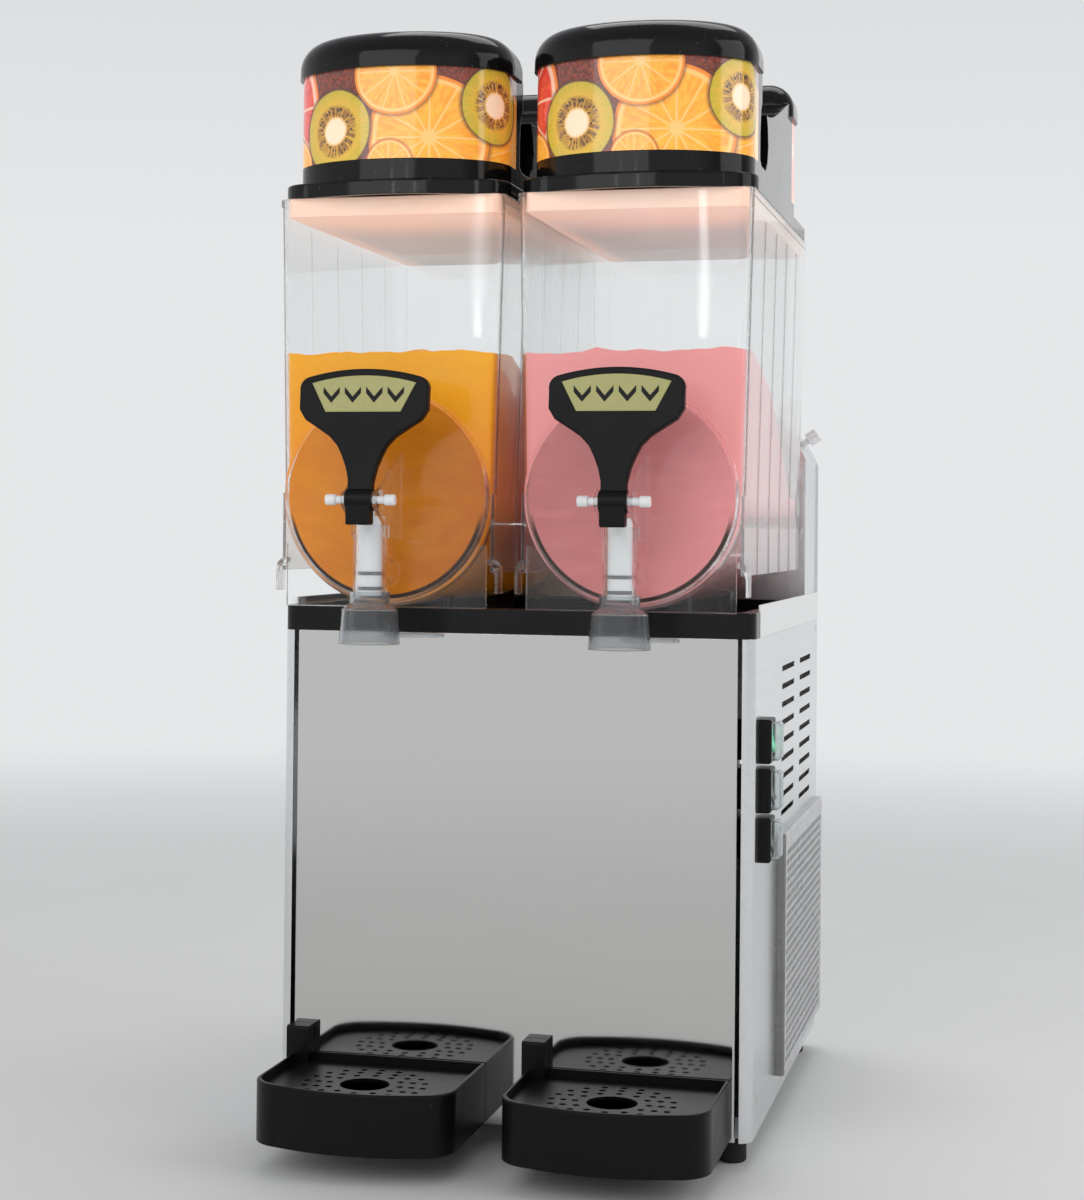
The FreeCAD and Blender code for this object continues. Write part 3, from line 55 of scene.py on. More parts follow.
HORIZON = (0.86, 0.87, 0.88)
ZENITH = (0.42, 0.43, 0.45)
FLOOR_TONE = (0.84, 0.84, 0.83)
AIR_STRENGTH = 0.92
FLAG_STRENGTH = 0.35 * AIR_STRENGTH
FLOOR_RADIUS = 40.0
FLOOR_DROP = 0.2 * MM

# How far a rounded corner's normal has to lean from the face's before it counts as worn, and as fully worn.
EDGE_STARTS = 0.02
EDGE_FULL = 0.3
CREASE = math.radians(40)

# The drink, from the auger's axis: its level at the front, its fall towards the back, and its waves.
AUGER_TO_WALL = 5.5 * MM
SLUSH_LEVEL = 113.0 * MM
SLUSH_FALL = 1.4  # per metre of depth, squared
SLUSH_LOWEST = 4.0 * MM
SWELL = 4.5 * MM
RIPPLE = 2.2 * MM


# ---- node trees ----
class Tree:
    """Builds one material: every method adds a node and gives back its output socket."""

    def __init__(self, name):
        self.material = bpy.data.materials.new(name)
        self.material.use_nodes = True
        self.tree = self.material.node_tree
        self.tree.nodes.clear()

    def node(self, kind, **settings):
        made = self.tree.nodes.new(kind)
        for key, value in settings.items():
            setattr(made, key, value)
        return made

    def put(self, socket, value):
        if isinstance(value, bpy.types.NodeSocket):
            self.tree.links.new(value, socket)
        elif isinstance(value, tuple) and len(value) == 3 and socket.type == "RGBA":
            socket.default_value = value + (1.0,)
        else:
            socket.default_value = value

    def place(self, scale=(1.0, 1.0, 1.0)):
        """Row-frame position in metres, stretched along each axis."""
        where = self.node("ShaderNodeTexCoord").outputs["Object"]
        mapping = self.node("ShaderNodeMapping")
        self.put(mapping.inputs["Vector"], where)
        mapping.inputs["Scale"].default_value = scale
        return mapping.outputs["Vector"]

    def parts(self):
        """Row-frame x, y and z in metres, as three values."""
        split = self.node("ShaderNodeSeparateXYZ")
        self.put(split.inputs[0], self.place())
        return split.outputs

    def join(self, x, y, z):
        made = self.node("ShaderNodeCombineXYZ")
        for socket, value in zip(made.inputs, (x, y, z)):
            self.put(socket, value)
        return made.outputs[0]

    def noise(self, scale, detail=3.0, vector=None, roughness=0.5, distortion=0.0):
        made = self.node("ShaderNodeTexNoise")
        self.put(made.inputs["Vector"], vector or self.place())
        made.inputs["Scale"].default_value = scale
        made.inputs["Detail"].default_value = detail
        made.inputs["Roughness"].default_value = roughness
        made.inputs["Distortion"].default_value = distortion
        return made.outputs[0]

    def cells(self, scale, vector=None, output="Distance"):
        made = self.node("ShaderNodeTexVoronoi")
        self.put(made.inputs["Vector"], vector or self.place())
        made.inputs["Scale"].default_value = scale
        return made.outputs[output]

    def calc(self, operation, a, b=0.0):
        made = self.node("ShaderNodeMath", operation=operation)
        for socket, value in zip(made.inputs, (a, b)):
            self.put(socket, value)
        return made.outputs[0]

    def span(self, value, low, high, to_low=0.0, to_high=1.0, smooth=False):
        """The value's place between low and high, clamped and given out between to_low and to_high."""
        made = self.node("ShaderNodeMapRange", interpolation_type="SMOOTHSTEP" if smooth else "LINEAR")
        for socket, number in zip(made.inputs, (value, low, high, to_low, to_high)):
            self.put(socket, number)
        return made.outputs[0]

    def mix(self, factor, a, b):
        made = self.node("ShaderNodeMix", data_type="RGBA")
        self.put(made.inputs[0], factor)
        self.put(made.inputs[6], a)
        self.put(made.inputs[7], b)
        return made.outputs[2]

    def edges(self, radius):
        """1 on the rounded corners of a piece and 0 on its flats, with the rounded normal."""
        rounded = self.node("ShaderNodeBevel", samples=4)
        rounded.inputs["Radius"].default_value = radius
        plain = self.node("ShaderNodeNewGeometry").outputs["Normal"]
        dot = self.node("ShaderNodeVectorMath", operation="DOT_PRODUCT")
        self.put(dot.inputs[0], rounded.outputs[0])
        self.put(dot.inputs[1], plain)
        turn = self.calc("SUBTRACT", 1.0, dot.outputs["Value"])
        return self.span(turn, EDGE_STARTS, EDGE_FULL), rounded.outputs[0]

    def bump(self, height, strength, distance, normal=None):
        made = self.node("ShaderNodeBump")
        made.inputs["Strength"].default_value = strength
        made.inputs["Distance"].default_value = distance
        self.put(made.inputs["Height"], height)
        if normal is not None:
            self.put(made.inputs["Normal"], normal)
        return made.outputs[0]

    def principled(self, **sockets):
        made = self.node("ShaderNodeBsdfPrincipled")
        for key, value in sockets.items():
            self.put(made.inputs[key.replace("_", " ")], value)
        return made.outputs[0]

    def shaders(self, factor, a, b):
        made = self.node("ShaderNodeMixShader")
        self.put(made.inputs[0], factor)
        self.put(made.inputs[1], a)
        self.put(made.inputs[2], b)
        return made.outputs[0]

    def finish(self, shader):
        out = self.node("ShaderNodeOutputMaterial")
        self.put(out.inputs["Surface"], shader)
        return self.material


def steel(name, tone, roughness, along, streak=0.12, smudge=0.08):
    """Brushed stainless sheet: fine lines along one axis, some longer scratches and cloudy handling marks."""
    t = Tree(name)
    fine = [900.0, 900.0, 900.0]
    fine["xyz".index(along)] = 6.0
    lines = t.noise(1.0, 2.0, t.place(tuple(fine)))
    coarse = t.noise(1.0, 2.0, t.place(tuple(v * 0.2 if v > 100 else 1.5 for v in fine)))
    clouds = t.noise(7.0, 4.0, roughness=0.6)
    scratch_place = t.place(tuple(v * 1.7 if v > 100 else 14.0 for v in fine))
    scratches = t.span(t.noise(1.0, 1.0, scratch_place), 0.74, 0.84)
    disc_shading = t.calc("ADD", t.span(lines, 0.3, 0.7, -streak, streak), t.span(coarse, 0.3, 0.7, -streak, streak))
    base = t.mix(t.span(disc_shading, -streak, streak), tuple(v * (1 - streak) for v in tone),
                 tuple(min(1.0, v * (1 + streak * 0.6)) for v in tone))
    corner_mask, normal = t.edges(0.0007)
    base = t.mix(t.calc("MULTIPLY", corner_mask, 0.4), base, (0.93, 0.93, 0.93))
    rough = t.calc("ADD", t.span(clouds, 0.3, 0.75, roughness - smudge * 0.5, roughness + smudge),
                  t.calc("MULTIPLY", scratches, 0.06))
    height = t.calc("ADD", lines, t.calc("MULTIPLY", scratches, -0.3))
    shader = t.principled(Base_Color=base, Metallic=1.0, Roughness=rough,
                          Normal=t.bump(height, 0.06, 0.00004, normal))
    return t.finish(shader)


def perforated_steel():
    t = Tree("screen_steel")
    grain = t.noise(1.0, 2.0, t.place((40.0, 12.0, 700.0)))
    dust = t.noise(60.0, 4.0)
    base = t.mix(t.span(grain, 0.3, 0.7), (0.60, 0.61, 0.62), (0.72, 0.72, 0.73))
    base = t.mix(t.span(dust, 0.55, 0.8, 0.0, 0.35), base, (0.42, 0.41, 0.39))
    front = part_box("filter_screen")[0].y
    # Painted shade: the pan's front fold is painted dark where it stands out from the side panel.
    fold_shade = t.span(t.parts()[1], front + 1.2 * MM, front + 2.4 * MM, 0.75, 0.0)
    base = t.mix(fold_shade, base, (0.13, 0.13, 0.125))
    _, normal = t.edges(0.0004)
    shader = t.principled(Base_Color=base, Metallic=0.95, Roughness=t.span(dust, 0.3, 0.7, 0.26, 0.42),
                          Normal=t.bump(grain, 0.1, 0.00005, normal))
    return t.finish(shader)


def galvanised():
    t = Tree("galvanised_sheet")
    spangle = t.cells(90.0, output="Color")
    grey = t.node("ShaderNodeRGBToBW")
    t.put(grey.inputs[0], spangle)
    base = t.mix(grey.outputs[0], (0.42, 0.44, 0.46), (0.62, 0.64, 0.66))
    stain = t.noise(18.0, 5.0)
    base = t.mix(t.span(stain, 0.6, 0.8, 0.0, 0.5), base, (0.75, 0.76, 0.76))
    rough = t.span(grey.outputs[0], 0.0, 1.0, 0.32, 0.5)
    shader = t.principled(Base_Color=base, Metallic=0.8, Roughness=rough, Normal=t.bump(stain, 0.15, 0.0002))
    return t.finish(shader)


def moulded(name, tone, roughness, grain=0.25, grain_scale=1400.0, wear=0.35, coat=0.0):
    """Moulded plastic: spark-eroded grain, rounded and slightly polished corners, dust and rubbed patches."""
    t = Tree(name)
    texture = t.cells(grain_scale)
    patches = t.noise(14.0, 5.0, roughness=0.6)
    specks = t.span(t.noise(420.0, 2.0), 0.70, 0.80)
    corner_mask, normal = t.edges(0.0008)
    lighter = tuple(min(1.0, v * 1.5 + 0.012) for v in tone)
    base = t.mix(t.span(patches, 0.35, 0.75, 0.0, 0.6), tone, tuple(v * 1.25 for v in tone))
    base = t.mix(t.calc("MULTIPLY", corner_mask, wear), base, lighter)
    base = t.mix(t.calc("MULTIPLY", specks, 0.075), base, (0.30, 0.30, 0.29))
    rough = t.span(patches, 0.3, 0.8, roughness - 0.05, roughness + 0.10)
    rough = t.calc("SUBTRACT", rough, t.calc("MULTIPLY", corner_mask, 0.12))
    shader = t.principled(Base_Color=base, Roughness=rough, Coat_Weight=coat, Coat_Roughness=0.06,
                          Specular_IOR_Level=0.16, Normal=t.bump(texture, grain, 0.00012, normal))
    return t.finish(shader)


def polished_black():
    """High-gloss black: almost a mirror, with fine swirl scratches, a slight sag in the surface and dust."""
    t = Tree("polished_black")
    sag = t.noise(22.0, 2.0)
    swirl = t.span(t.noise(1.0, 2.0, t.place((260.0, 30.0, 330.0)), distortion=1.5), 0.66, 0.74)
    dust = t.span(t.noise(650.0, 1.0), 0.73, 0.80)
    corner_mask, normal = t.edges(0.0012)
    base = t.mix(t.calc("MULTIPLY", dust, 0.25), (0.006, 0.006, 0.0065), (0.40, 0.40, 0.38))
    base = t.mix(t.calc("MULTIPLY", corner_mask, 0.12), base, (0.05, 0.05, 0.05))
    rough = t.calc("ADD", t.span(sag, 0.3, 0.7, 0.05, 0.11), t.calc("MULTIPLY", swirl, 0.10))
    shader = t.principled(Base_Color=base, Roughness=rough, Specular_IOR_Level=0.24,
                          Normal=t.bump(sag, 0.25, 0.0006, normal))
    return t.finish(shader)


def clear_plastic(name, tint, roughness=0.02, haze=0.012, edge_glint=0.24, ior=1.30):
    """Clear polycarbonate: it bends light, its rounded corners carry a painted glint, and wiping has left a
    haze and hairlines.
    Lamps shine through it without being bent."""
    t = Tree(name)
    clouds = t.noise(16.0, 4.0, roughness=0.6)
    hairs = t.span(t.noise(1.0, 2.0, t.place((60.0, 60.0, 700.0)), distortion=0.8), 0.68, 0.74)
    corner_mask, normal = t.edges(0.0010)
    cloudy = t.span(clouds, 0.4, 0.8, roughness, roughness + 0.05)
    rough = t.calc("ADD", cloudy, t.calc("MULTIPLY", hairs, 0.08))
    bumped = t.bump(t.noise(9.0, 1.0), 0.12, 0.0008, normal)
    bent = t.node("ShaderNodeBsdfGlass")
    t.put(bent.inputs["Color"], tint)
    t.put(bent.inputs["Roughness"], rough)
    bent.inputs["IOR"].default_value = ior
    t.put(bent.inputs["Normal"], bumped)
    veil = t.principled(Base_Color=(0.93, 0.94, 0.95), Roughness=0.35, Normal=normal)
    # Painted glint: the white veil on the rounded corners stands in for light caught there; the cloudy haze
    # and hairlines are real wiping marks.
    amount = t.calc("ADD", t.span(clouds, 0.35, 0.8, haze * 0.3, haze), t.calc("MULTIPLY", corner_mask, edge_glint))
    amount = t.calc("ADD", amount, t.calc("MULTIPLY", hairs, 0.05))
    through = t.node("ShaderNodeBsdfTransparent")
    t.put(through.inputs["Color"], tuple(v * 0.98 for v in tint))
    unbent_share = 0.12
    body = t.shaders(amount, t.shaders(unbent_share, bent.outputs[0], through.outputs[0]), veil)
    rays = t.node("ShaderNodeLightPath")
    shadow_or_soft = t.calc("MAXIMUM", rays.outputs["Is Shadow Ray"], rays.outputs["Is Diffuse Ray"])
    return t.finish(t.shaders(shadow_or_soft, body, through.outputs[0]))


def milky(name, tone, roughness):
    """White acetal or rubber: a little light goes in, faint moulding flow marks, patches of grime."""
    t = Tree(name)
    flow = t.noise(1.0, 3.0, t.place((90.0, 90.0, 30.0)))
    grime = t.noise(70.0, 4.0)
    corner_mask, normal = t.edges(0.0006)
    base = t.mix(t.span(flow, 0.3, 0.7), tuple(v * 0.94 for v in tone), tone)
    base = t.mix(t.span(grime, 0.62, 0.85, 0.0, 0.25), base, tuple(v * 0.72 for v in tone))
    base = t.mix(t.calc("MULTIPLY", corner_mask, 0.3), base, tuple(min(1.0, v * 1.06) for v in tone))
    shader = t.principled(Base_Color=base, Roughness=t.span(grime, 0.3, 0.8, roughness, roughness + 0.12),
                          Subsurface_Weight=0.15, Subsurface_Scale=0.003,
                          Normal=t.bump(flow, 0.15, 0.0002, normal))
    return t.finish(shader)


def gold_foil():
    """Matt gold foil: metal flake, soft handling marks and a darker rubbed border."""
    t = Tree("gold_foil")
    flake = t.cells(2600.0)
    clouds = t.noise(60.0, 4.0)
    corner_mask, normal = t.edges(0.0008)
    base = t.mix(t.span(clouds, 0.3, 0.75), (0.31, 0.295, 0.105), (0.40, 0.38, 0.155))
    base = t.mix(t.span(flake, 0.0, 0.9, 0.25, 0.0), base, (0.62, 0.59, 0.34))
    base = t.mix(t.calc("MULTIPLY", corner_mask, 0.5), base, (0.20, 0.19, 0.09))
    shader = t.principled(Base_Color=base, Metallic=0.35, Roughness=t.span(clouds, 0.3, 0.7, 0.36, 0.5),
                          Normal=t.bump(flake, 0.12, 0.00008, normal))
    return t.finish(shader)


def bare_metal(name, tone, roughness, along):
    """Turned, drawn or ground metal: the sheet's finish with fainter lines and cleaner handling."""
    return steel(name, tone, roughness, along, streak=0.07, smudge=0.05)


def enamel(name, tone, roughness=0.4):
    """Sprayed enamel with orange peel and a few chips down to grey primer."""
    t = Tree(name)
    peel = t.noise(240.0, 2.0)
    chips = t.span(t.noise(75.0, 5.0, roughness=0.7), 0.70, 0.72)
    corner_mask, normal = t.edges(0.0012)
    base = t.mix(t.calc("MAXIMUM", t.calc("MULTIPLY", corner_mask, 0.35), t.calc("MULTIPLY", chips, 0.7)), tone,
                 (0.30, 0.30, 0.30))
    rough = t.span(peel, 0.3, 0.7, roughness - 0.08, roughness + 0.1)
    shader = t.principled(Base_Color=base, Roughness=rough, Normal=t.bump(peel, 0.25, 0.0003, normal))
    return t.finish(shader)


def lit_green():
    """Lit rocker: a brighter middle over the lamp, ribbed prism lines inside the cap."""
    t = Tree("lit_green")
    lo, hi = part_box("rocker_1")
    middle = (lo + hi) / 2
    where = t.parts()
    off = t.calc("ABSOLUTE", t.calc("SUBTRACT", where[2], middle.z + 0.003))
    lamp = t.span(off, 0.0, 0.012, 1.0, 0.25, smooth=True)
    ribs = t.calc("SINE", t.calc("MULTIPLY", where[2], 4200.0))
    _, normal = t.edges(0.0006)
    tone = t.mix(lamp, (0.0, 0.22, 0.10), (0.02, 0.75, 0.33))
    glow = t.calc("MULTIPLY", lamp, 0.9)
    shader = t.principled(Base_Color=tone, Roughness=0.22, Emission_Color=tone, Emission_Strength=glow,
                          Normal=t.bump(ribs, 0.25, 0.0001, normal))
    return t.finish(shader)


# ---- the lit picture on the lids: a generic pattern of fruit slices ----
ORANGE = {"rind": (0.90, 0.24, 0.005), "pith": (1.0, 0.56, 0.16), "flesh": (0.98, 0.31, 0.005),
          "light": (1.0, 0.50, 0.03)}
RED = {"rind": (0.90, 0.22, 0.03), "pith": (1.0, 0.58, 0.42), "flesh": (0.72, 0.015, 0.012),
       "light": (0.92, 0.07, 0.04)}
SEED_BED = (0.20, 0.06, 0.008)
KIWI = {"skin": (0.10, 0.035, 0.005), "outer": (0.50, 0.40, 0.015), "inner": (0.86, 0.45, 0.03),
        "seed": (0.030, 0.006, 0.003), "core": (1.0, 0.78, 0.55)}
RIM_SHADE = (0.022, 0.008, 0.004)
FILM_U = "film_u"
FILM_V = "film_v"


def polar(t, centre, radius, u, v, wobble):
    """Distance from the slice's centre as a share of its radius, slightly uneven, and the angle round it."""
    x = t.calc("SUBTRACT", u, centre[0])
    y = t.calc("SUBTRACT", v, centre[1])
    length = t.calc("SQRT", t.calc("ADD", t.calc("MULTIPLY", x, x), t.calc("MULTIPLY", y, y)))
    uneven = t.calc("MULTIPLY", t.calc("SUBTRACT", wobble, 0.5), 0.10)
    ratio = t.calc("ADD", t.calc("DIVIDE", length, radius), uneven)
    return ratio, t.calc("ARCTAN2", y, x)


def citrus(t, under, centre, radius, colours, u, v, wobble, segments=10):
    """Round citrus slice laid over what is under it: rind, pith, and flesh in segments with juice cells."""
    ratio, angle = polar(t, centre, radius, u, v, wobble)
    cells = t.cells(1.0, t.join(t.calc("MULTIPLY", angle, 9.0), t.calc("MULTIPLY", ratio, 4.5), radius * 900))
    flesh = t.mix(t.span(cells, 0.1, 0.8), colours["light"], colours["flesh"])
    flesh = t.mix(t.span(ratio, 0.2, 0.9, 0.35, 0.0), flesh, colours["light"])
    turn = t.calc("ABSOLUTE", t.calc("SINE", t.calc("MULTIPLY", angle, segments / 2.0)))
    wall = t.span(t.calc("MULTIPLY", turn, ratio), 0.05, 0.12, 1.0, 0.0)
    wall = t.calc("MAXIMUM", wall, t.span(ratio, 0.08, 0.14, 1.0, 0.0))
    wall = t.calc("MAXIMUM", wall, t.span(ratio, 0.84, 0.88))
    slice_colour = t.mix(wall, flesh, colours["pith"])
    slice_colour = t.mix(t.span(ratio, 0.92, 0.95), slice_colour, colours["rind"])
    halo = t.mix(t.span(ratio, 1.0, 1.09, 0.75, 0.0), under, (0.14, 0.012, 0.0))
    return t.mix(t.span(ratio, 0.985, 1.0, 1.0, 0.0), halo, slice_colour)


def kiwi(t, under, centre, radius, u, v, wobble):
    """Kiwi slice laid over what is under it: furry skin, green rays, a ring of seeds and a pale core."""
    ratio, angle = polar(t, centre, radius, u, v, wobble)
    ray_place = t.join(t.calc("MULTIPLY", angle, 14.0), t.calc("MULTIPLY", ratio, 1.2), radius * 700)
    rays = t.noise(1.0, 2.0, ray_place)
    colour = t.mix(t.span(ratio, 0.40, 0.92), KIWI["inner"], KIWI["outer"])
    colour = t.mix(t.span(rays, 0.35, 0.7, 0.0, 0.55), colour, KIWI["inner"])
    seeds = t.cells(1.0, t.join(t.calc("MULTIPLY", angle, 6.4), t.calc("MULTIPLY", ratio, 8.0), 0.3))
    ring = t.calc("MULTIPLY", t.span(ratio, 0.32, 0.38), t.span(ratio, 0.55, 0.66, 1.0, 0.0))
    bed = t.calc("MULTIPLY", t.calc("MULTIPLY", ring, 0.85), t.span(rays, 0.3, 0.55))
    colour = t.mix(bed, colour, SEED_BED)
    colour = t.mix(t.calc("MULTIPLY", t.span(seeds, 0.28, 0.38, 1.0, 0.0), ring), colour, KIWI["seed"])
    colour = t.mix(t.span(t.calc("ADD", ratio, t.calc("MULTIPLY", rays, 0.12)), 0.34, 0.42, 1.0, 0.0), colour,
                   KIWI["core"])
    colour = t.mix(t.span(ratio, 0.95, 0.985), colour, KIWI["skin"])
    halo = t.mix(t.span(ratio, 1.0, 1.10, 0.75, 0.0), under, (0.08, 0.012, 0.0))
    return t.mix(t.span(ratio, 0.985, 1.0, 1.0, 0.0), halo, colour)


def fruit_film():
    """The lit picture: overlapping slices on dark pulp. Centres and radii in metres along and up the film."""
    t = Tree("fruit_film")
    u = t.node("ShaderNodeAttribute", attribute_name=FILM_U).outputs["Fac"]
    v = t.node("ShaderNodeAttribute", attribute_name=FILM_V).outputs["Fac"]
    wobble = t.noise(28.0, 2.0)
    pulp = t.cells(260.0)
    colour = t.mix(t.span(pulp, 0.1, 0.7), (0.30, 0.030, 0.004), (0.12, 0.008, 0.003))
    colour = citrus(t, colour, (0.118, 0.014), 0.044, ORANGE, u, v, wobble, 11)
    colour = citrus(t, colour, (-0.122, 0.046), 0.058, RED, u, v, wobble)
    colour = citrus(t, colour, (0.034, 0.016), 0.050, ORANGE, u, v, wobble, 12)
    colour = citrus(t, colour, (0.006, 0.068), 0.034, ORANGE, u, v, wobble)
    colour = kiwi(t, colour, (-0.046, 0.024), 0.033, u, v, wobble)
    colour = citrus(t, colour, (0.002, -0.004), 0.019, ORANGE, u, v, wobble, 8)
    colour = kiwi(t, colour, (0.090, 0.044), 0.031, u, v, wobble)
    colour = citrus(t, colour, (-0.098, -0.002), 0.024, ORANGE, u, v, wobble, 9)
    grain = t.noise(900.0, 1.0)
    colour = t.mix(t.span(grain, 0.3, 0.7, 0.0, 0.07), colour, (1.0, 0.95, 0.8))
    lamp = t.span(v, 0.0, 0.06, 1.05, 0.80)
    shader = t.principled(Base_Color=colour, Roughness=t.span(grain, 0.3, 0.7, 0.10, 0.16), Coat_Weight=0.5,
                          Emission_Color=colour, Emission_Strength=t.calc("MULTIPLY", lamp, 0.26),
                          Normal=t.bump(wobble, 0.05, 0.0005))
    return t.finish(shader)


def lit_diffuser(side):
    """Milky liner under the lid: warm light at the front and round the rim, and unlit grey at the rear."""
    t = Tree("lit_diffuser_" + side)
    lo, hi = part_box("lid_diffuser_" + side)
    depth = hi.y - lo.y
    where = t.parts()
    soft = t.noise(9.0, 3.0)
    warped = t.calc("ADD", where[1], t.span(soft, 0.3, 0.7, -0.02, 0.02))
    front = t.span(warped, lo.y + 0.02, lo.y + depth * 0.50, 1.0, 0.0, smooth=True)
    off_middle = t.calc("ABSOLUTE", t.calc("SUBTRACT", where[0], (lo.x + hi.x) / 2))
    rim = t.span(off_middle, (hi.x - lo.x) * 0.36, (hi.x - lo.x) * 0.5, 0.0, 0.7, smooth=True)
    skirt = t.span(where[2], lo.z + 0.002, lo.z + 0.006)
    glow = t.calc("MAXIMUM", t.calc("MAXIMUM", front, rim), t.calc("MULTIPLY", skirt, 0.8))
    tone = t.mix(glow, (0.58, 0.54, 0.52), (1.0, 0.60, 0.42))
    tone = t.mix(t.span(soft, 0.35, 0.75, 0.0, 0.5), tone, (0.98, 0.80, 0.72))
    strength = t.span(glow, 0.0, 1.0, 0.05, 0.26)
    shader = t.principled(Base_Color=tone, Roughness=0.4, Emission_Color=tone, Emission_Strength=strength,
                          Normal=t.bump(soft, 0.1, 0.001))
    return t.finish(shader)


def slush(name, side, top, body, disc_left, disc_right, flank):
    """Ice slush: coarse bright crystals and soft streaks left by the auger, under painted light and shade: a
    top painted paler and the body deeper low down, flanks towards the back painted in the flank tone, a front
    disc painted darker with shading across it, a painted dark crescent of shade under the disc's lower rim,
    and a faint painted glow."""
    t = Tree(name)
    axis = auger_axis(side)
    where = t.parts()
    crystals = t.cells(520.0)
    grains = t.noise(210.0, 4.0, roughness=0.7)
    lumps = t.noise(26.0, 4.0)
    streaks = t.noise(1.0, 3.0, t.place((20.0, 9.0, 60.0)), distortion=1.2)
    wander = t.span(lumps, 0.3, 0.7, -0.012, 0.012)
    # Painted light and shade: the slush is painted paler towards its top and deeper low down.
    rise = t.span(t.calc("ADD", where[2], wander), axis.z + 0.02, axis.z + 0.112)
    colour = t.mix(rise, body, top)
    # Painted shade and light: faces turned sideways, more so towards the back, take the flank tone, dark on
    # the orange and pale on the pink.
    facing = t.node("ShaderNodeSeparateXYZ")
    t.put(facing.inputs[0], t.node("ShaderNodeTexCoord").outputs["Normal"])
    sideways = t.span(t.calc("ABSOLUTE", facing.outputs[0]), 0.55, 0.9)
    uneven_y = t.calc("ADD", where[1], t.calc("MULTIPLY", wander, 2.0))
    behind = t.span(uneven_y, axis.y + 0.02, axis.y + 0.10, 0.45, 1.0)
    colour = t.mix(t.calc("MULTIPLY", sideways, behind), colour, flank)
    # Painted shade: the front disc is painted in its own darker tones, shaded from one side across to the
    # other.
    disc = t.span(where[1], axis.y - 0.0005, axis.y + 0.0002, 1.0, 0.0)
    across = t.calc("SUBTRACT", where[0], t.calc("MULTIPLY", t.calc("SUBTRACT", where[2], axis.z), 0.5))
    disc_shading = t.span(t.calc("ADD", across, wander), axis.x - 0.05, axis.x + 0.09)
    colour = t.mix(disc, colour, t.mix(disc_shading, disc_left, disc_right))
    # Painted shade: a dark crescent under the lower rim of the front disc.
    dx = t.calc("SUBTRACT", where[0], axis.x)
    dz = t.calc("SUBTRACT", where[2], axis.z)
    radial = t.calc("SQRT", t.calc("ADD", t.calc("MULTIPLY", dx, dx), t.calc("MULTIPLY", dz, dz)))
    below_axis = t.span(dz, -0.030, -0.008, 1.0, 0.0, smooth=True)
    rim = t.calc("MULTIPLY", t.span(radial, 0.0770, 0.0778), below_axis)
    colour = t.mix(t.span(streaks, 0.45, 0.75, 0.0, 0.18), colour, top)
    sparkle = tuple(min(1.0, v * 1.15 + 0.01) for v in top)
    colour = t.mix(t.span(crystals, 0.0, 0.25, 0.4, 0.0), colour, sparkle)
    colour = t.mix(t.calc("MULTIPLY", rim, disc), colour, RIM_SHADE)
    rough_ice = t.calc("ADD", grains, t.calc("MULTIPLY", crystals, 0.6))
    # Painted light: the slush is given a faint glow of its own colour.
    shader = t.principled(Base_Color=colour, Roughness=t.span(grains, 0.3, 0.7, 0.28, 0.5),
                          Subsurface_Weight=0.2, Subsurface_Scale=0.006, Specular_IOR_Level=0.15,
                          Emission_Color=colour, Emission_Strength=0.20,
                          Normal=t.bump(rough_ice, 0.24, 0.0006))
    return t.finish(shader)


# ---- shapes ----
def mesh_object(name, bm, material, body):
    """A visible piece from a finished bmesh: smooth but for its creases, riding the given body."""
    bmesh.ops.recalc_face_normals(bm, faces=bm.faces)
    mesh = bpy.data.meshes.new(name)
    for face in bm.faces:
        face.smooth = True
    for edge in bm.edges:
        if len(edge.link_faces) == 2 and edge.calc_face_angle(0.0) > CREASE:
            edge.smooth = False
    bm.to_mesh(mesh)
    bm.free()
    mesh.materials.append(material)
    made = bpy.data.objects.new(name, mesh)
    bpy.context.scene.collection.objects.link(made)
    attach(made, body)
    return made


def auger_axis(side):
    """Where the auger's axis meets the plane just inside the tank's front wall."""
    lo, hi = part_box("auger_shaft_" + side)
    auger_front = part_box("auger_" + side)[0].y
    return Vector(((lo.x + hi.x) / 2, auger_front - AUGER_TO_WALL, (lo.z + hi.z) / 2))


def loft(bm, loops):
    """Quads between neighbouring closed loops of the same length."""
    for a, b in zip(loops, loops[1:]):
        for i in range(len(a)):
            j = (i + 1) % len(a)
            bm.faces.new((a[i], a[j], b[j], b[i]))


def slush_level(depth, x):
    """Height of the slush above the auger's axis, at a depth behind the front wall."""
    wave = SWELL * noise.noise(Vector((x * 34.0, depth * 26.0, 0.7)))
    wave += RIPPLE * noise.noise(Vector((x * 90.0, depth * 70.0, 3.1)))
    return max(SLUSH_LOWEST, SLUSH_LEVEL - SLUSH_FALL * depth * depth + wave)


